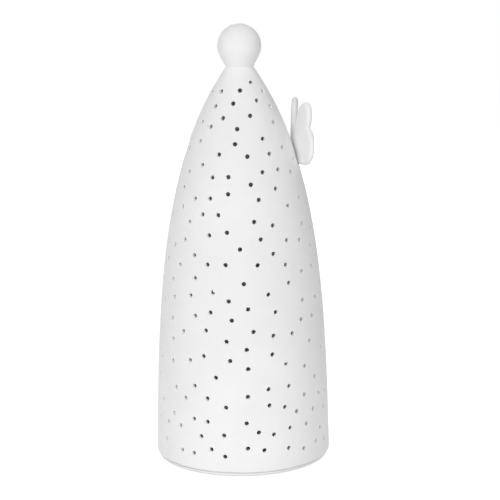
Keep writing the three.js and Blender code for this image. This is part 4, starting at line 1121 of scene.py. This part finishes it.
spring_feet = [
    end - Vector((facing * (SPRING_LENGTH - SPRING_WIRE), 0, 0))
    for end, facing in zip(cell_ends, FACINGS)
]
springs = grown(
    coiling, points("spring_ends", spring_feet, turn=along_bay), Curls=SPRING_CURLS,
    Base_Radius=SPRING_BASE * MM, Tip_Radius=SPRING_TIP * MM,
    Length=(SPRING_LENGTH - 2 * SPRING_WIRE) * MM, Wire_Radius=SPRING_WIRE * MM, Finish=zinc_steel,
)
springs = smoothed(springs, WIRE_CREASE)
show("cell_springs", springs, "base", "steel", numbered("contact_spring", 3))

# %% Contacts
CONTACTS = ["contact_positive", "contact_negative", *numbered("contact_bridge", 2)]
STRIP_ROUND = 0.08

strips = bmesh.new()
for node in CONTACTS:
    strips.from_mesh(softened(node, STRIP_ROUND))
strip_mesh = smoothed(to_mesh(strips, bpy.data.meshes.new("contact_strips")), SOFT_CREASE)
show("contact_strips", strip_mesh, "base", "nickel_plate", CONTACTS, nickel)

# %% [markdown]
# The light itself is a round board on two posts: three warm lamps with a water-clear epoxy lens,
# each with a resistor beside it, under a blow-moulded opal dome that spreads the light.

# %% Board
BOARD_LOW, BOARD_HIGH = (corner.z for corner in extent("led_board")[:2])
BOARD_RADIUS, BOARD_ROUND = 15.0, 0.15
SCREW_HOLE_RADIUS = 1.3

board_mask = finish(
    "white_solder_mask", ("#E3E6E0", "#E9EBE6"), 0.36, patch=9, grain=0.35, depth=0.008, IOR=1.55,
)
board = carved(
    turned("board", [
        (0, BOARD_LOW), (BOARD_RADIUS - BOARD_ROUND, BOARD_LOW),
        (BOARD_RADIUS, BOARD_LOW + BOARD_ROUND), (BOARD_RADIUS, BOARD_HIGH - BOARD_ROUND),
        (BOARD_RADIUS - BOARD_ROUND, BOARD_HIGH), (0, BOARD_HIGH),
    ], sides=72),
    *[post(SCREW_HOLE_RADIUS, BOARD_LOW - PAST, BOARD_HIGH + PAST, x, y, sides=24)
      for x, y in places(numbered("board_screw", 2))],
)
show("lamp_board", smoothed(board, crease=30), "base", "circuit_board", ["led_board"], board_mask)

# %% Lamps
LEDS = numbered("led", 3)

clear_epoxy = finish(
    "water_clear_epoxy", ("#F4F1E2", "#F7F5EA"), 0.08, patch=5, grain=2.0, depth=0.002,
    IOR=1.54, Transmission_Weight=0.9,
)
lamp_lens = turned("lamp_lens", [
    (0, 0), (2.8, 0), (2.9, 0.1), (2.9, 0.9), (2.8, 1.0), (2.5, 1.0),
    *arc(0, 6.1, 2.5, 0, 90, 12)[:-1], (0, 8.6),
], sides=36)
lamp_spots = [extent(node)[2].xy.to_3d() + UP * extent("led_1")[0].z for node in LEDS]
show_set("lamps", lamp_lens, "clear_epoxy", LEDS, lamp_spots, [UNTURNED] * len(LEDS), clear_epoxy)

# %% Resistors
LEAD, LACQUER = "#BFC0C1", "#C8B48C"
RESISTORS = numbered("resistor", 3)

resistor_bands = banded(
    "lacquered_resistor",
    [
        (-3.3, LEAD), (-2.45, LACQUER), (-1.75, "#5B3A21"), (-1.25, LACQUER), (-0.75, "#1D1C1B"),
        (-0.3, LACQUER), (0.2, "#8E2A20"), (0.65, LACQUER), (1.4, "#B08A45"), (1.85, LACQUER),
        (2.45, LEAD),
    ], 3.3, LEAD, 0.35,
)
half_body = [(0.75, -2.45), (0.85, -2.2), (0.9, -1.85), (0.86, -1.5), (0.76, -1.1), (0.75, -0.7)]
resistor = turned("resistor", [
    (0, -3.2), (0.28, -3.2), (0.28, -2.5), *half_body,
    *[(0.75, z) for z in (-0.35, 0.15, 0.6)], *[(r, -z) for r, z in half_body[::-1]][1:],
    (0.28, 2.5), (0.28, 3.2), (0, 3.2),
], sides=28)
resistor_spots = [extent(node)[2] for node in RESISTORS]
resistor_turns = [(math.pi / 2, 0, math.atan2(spot.y, spot.x)) for spot in resistor_spots]
show_set(
    "banded_resistors", resistor, "resistor_body", RESISTORS, resistor_spots, resistor_turns,
    resistor_bands,
)

# %% [markdown]
# Opal acrylic is clear plastic filled with a fine white scatterer. Light that enters comes out
# again a millimetre or two away, so edges look soft; subsurface scattering gives that. Two gates in
# the dome's foot let the wires through.

# %% Opal dome
dome_low, dome_high, _ = extent("diffuser_dome")
DOME_OUTER = dome_high.x
DOME_INNER = DOME_OUTER - 1.6
DOME_FOOT = dome_low.z
DOME_SPRING = dome_high.z - DOME_OUTER
FOOT_ROUND = 0.3
GATE_BEARINGS = (212, 100)
GATE_FROM, GATE_TO, GATE_HALF, GATE_HEIGHT = 12, 22, 2.0, 3

opal = finish(
    "opal_acrylic", ("#EFEDE8", "#F2F0EC"), 0.3, patch=20, grain=2.5, depth=0.01,
    IOR=1.49, Subsurface_Weight=0.35, Subsurface_Scale=0.0015,
)
dome = turned("dome", [
    (DOME_INNER, DOME_FOOT + FOOT_ROUND), (DOME_INNER + FOOT_ROUND, DOME_FOOT),
    (DOME_OUTER - FOOT_ROUND, DOME_FOOT), (DOME_OUTER, DOME_FOOT + FOOT_ROUND),
    *arc(0, DOME_SPRING, DOME_OUTER, 0, 90, 26)[:-1], (0, DOME_SPRING + DOME_OUTER),
    (0, DOME_SPRING + DOME_INNER), *arc(0, DOME_SPRING, DOME_INNER, 90, 0, 20)[1:],
], sides=96, closed=True)
dome = carved(dome, *[
    block(
        (GATE_FROM, -GATE_HALF, DOME_FOOT - PAST), (GATE_TO, GATE_HALF, DOME_FOOT + GATE_HEIGHT),
        spin=math.radians(bearing),
    )
    for bearing in GATE_BEARINGS
])
show("opal_dome", smoothed(dome, crease=35), "base", "opal_plastic", ["diffuser_dome"], opal)

# %% [markdown]
# The slide switch is black plastic with two tinned tags, screwed to its bosses; its knob comes
# through the plate from below. Dark ABS shows its mould texture more than white does.

# %% Switch and knob
black_abs = finish(
    "moulded_black_abs", ("#19191B", "#202022"), 0.46, patch=8, grain=0.4, depth=0.012,
    IOR=1.53, Specular_IOR_Level=0.45,
)
switch_mesh = softened("switch_body", width=0.15)
show("slide_switch", switch_mesh, "base", "dark_plastic", ["switch_body"], black_abs, nickel)
for face in switch_mesh.polygons:  # what stands above the body is a tag
    face.material_index = int(face.center.z > (SWITCH_TOP + 0.05) * MM)
knob_mesh = softened("switch_knob", width=0.2)
show("slide_knob", knob_mesh, "knob", "dark_plastic", ["switch_knob"], black_abs)

# %% [markdown]
# Three short hook-up wires join tray, switch and board, soldered at both ends. They are soft PVC
# over copper strands: an even colour with a waxy shine. Each follows the same points as the solid,
# rounded by a centripetal Catmull-Rom curve, and a tree runs a round section along it.

# %% Wire routes
WIRE_RADIUS = 0.6
WIRE_STEPS = 14
WIRE_LIFT = UP * 3
GATE_Z = DOME_FOOT + 0.9
UNDER_BOARD = BOARD_LOW - WIRE_RADIUS
SOLDER_RADIUS = 11
TERMINAL_HALF = 3.0
TERMINAL_TOP = extent("switch_body")[1].z + 0.3


def rounded_route(corners):
    """Points on the centripetal Catmull-Rom curve through corner points."""
    ends = [2 * corners[0] - corners[1], *corners, 2 * corners[-1] - corners[-2]]
    route = [corners[0]]
    for stretch in zip(ends, ends[1:], ends[2:], ends[3:]):
        knots = [0.0]
        for p, q in zip(stretch, stretch[1:]):
            knots.append(knots[-1] + math.sqrt((q - p).length))
        for t in spread(knots[1], knots[2], WIRE_STEPS)[1:]:
            spots = stretch
            for first, span in ((0, 1), (0, 2), (1, 1)):
                spots = [
                    p.lerp(q, (t - knots[at]) / (knots[at + span] - knots[at]))
                    for at, (p, q) in enumerate(zip(spots, spots[1:]), first)
                ]
            route.append(spots[0])
    return route


def through_gate(bearing):
    """The last points of a wire that goes in through a gate to the underside of the board."""
    way = Vector((math.cos(math.radians(bearing)), math.sin(math.radians(bearing)), 0))
    return [
        way * radius + UP * z
        for radius, z in (
            (DOME_OUTER + 5.2, GATE_Z + 0.6), (DOME_OUTER + 0.7, GATE_Z), (DOME_INNER - 0.7, GATE_Z),
            (SOLDER_RADIUS, (GATE_Z + UNDER_BOARD) / 2), (SOLDER_RADIUS, UNDER_BOARD),
        )
    ]


_, tab_high, tab_middle = extent("contact_positive")
plus_tab = Vector((tab_high.x + 0.3, tab_middle.y, tab_high.z - 0.2))
minus_tab = Vector((-plus_tab.x, -plus_tab.y, plus_tab.z))
tab_exit = Vector((3, 0, 0))
plus_terminal = Vector((TERMINAL_HALF, SWITCH_Y, TERMINAL_TOP))
board_terminal = Vector((-TERMINAL_HALF, SWITCH_Y, TERMINAL_TOP))
red_routes = [
    [
        plus_tab, plus_tab + tab_exit, plus_tab + tab_exit + Vector((0, 6, 0)),
        Vector((switch_bosses[0][0] + 6, SWITCH_Y, TERMINAL_TOP)) + WIRE_LIFT,
        plus_terminal + WIRE_LIFT, plus_terminal,
    ],
    [board_terminal, board_terminal + WIRE_LIFT, *through_gate(GATE_BEARINGS[1])],
]
black_routes = [
    [minus_tab, minus_tab - tab_exit, minus_tab + 2 * WIRE_LIFT, *through_gate(GATE_BEARINGS[0])],
]

# %% Wires
WIRE_SIDES = 14
WIRES = {
    "red": (red_routes, ("#A8231D", "#B3281F"), ["wire_battery_switch", "wire_switch_board"]),
    "black": (black_routes, ("#18181A", "#1E1E20"), ["wire_battery_board"]),
}

sheathing, entry = new_tree("sheathed_wire", {
    "Route": "Geometry", "Radius": "Float", "Sides": "Int", "Finish": "Material",
})
core_line = add_node(sheathing, "GeometryNodeMeshToCurve", {"Mesh": entry["Route"]})
sheath = wire_along(sheathing, core_line, entry["Radius"], entry["Sides"])
end_tree(sheathing, entry, sheath)

for colour, (routes, shades, nodes) in WIRES.items():
    pvc = finish(f"{colour}_pvc_sheath", shades, 0.38, patch=5, grain=0.6, depth=0.006, IOR=1.53)
    spots, links = [], []
    for line in map(rounded_route, routes):
        links += [(at, at + 1) for at in range(len(spots), len(spots) + len(line) - 1)]
        spots += [spot * MM for spot in line]
    route_mesh = bpy.data.meshes.new("routes")
    route_mesh.from_pydata(spots, links, [])
    wire = grown(sheathing, route_mesh, Radius=WIRE_RADIUS * MM, Sides=WIRE_SIDES, Finish=pvc)
    show(f"{colour}_wires", smoothed(wire, WIRE_CREASE), "base", f"{colour}_pvc", nodes)
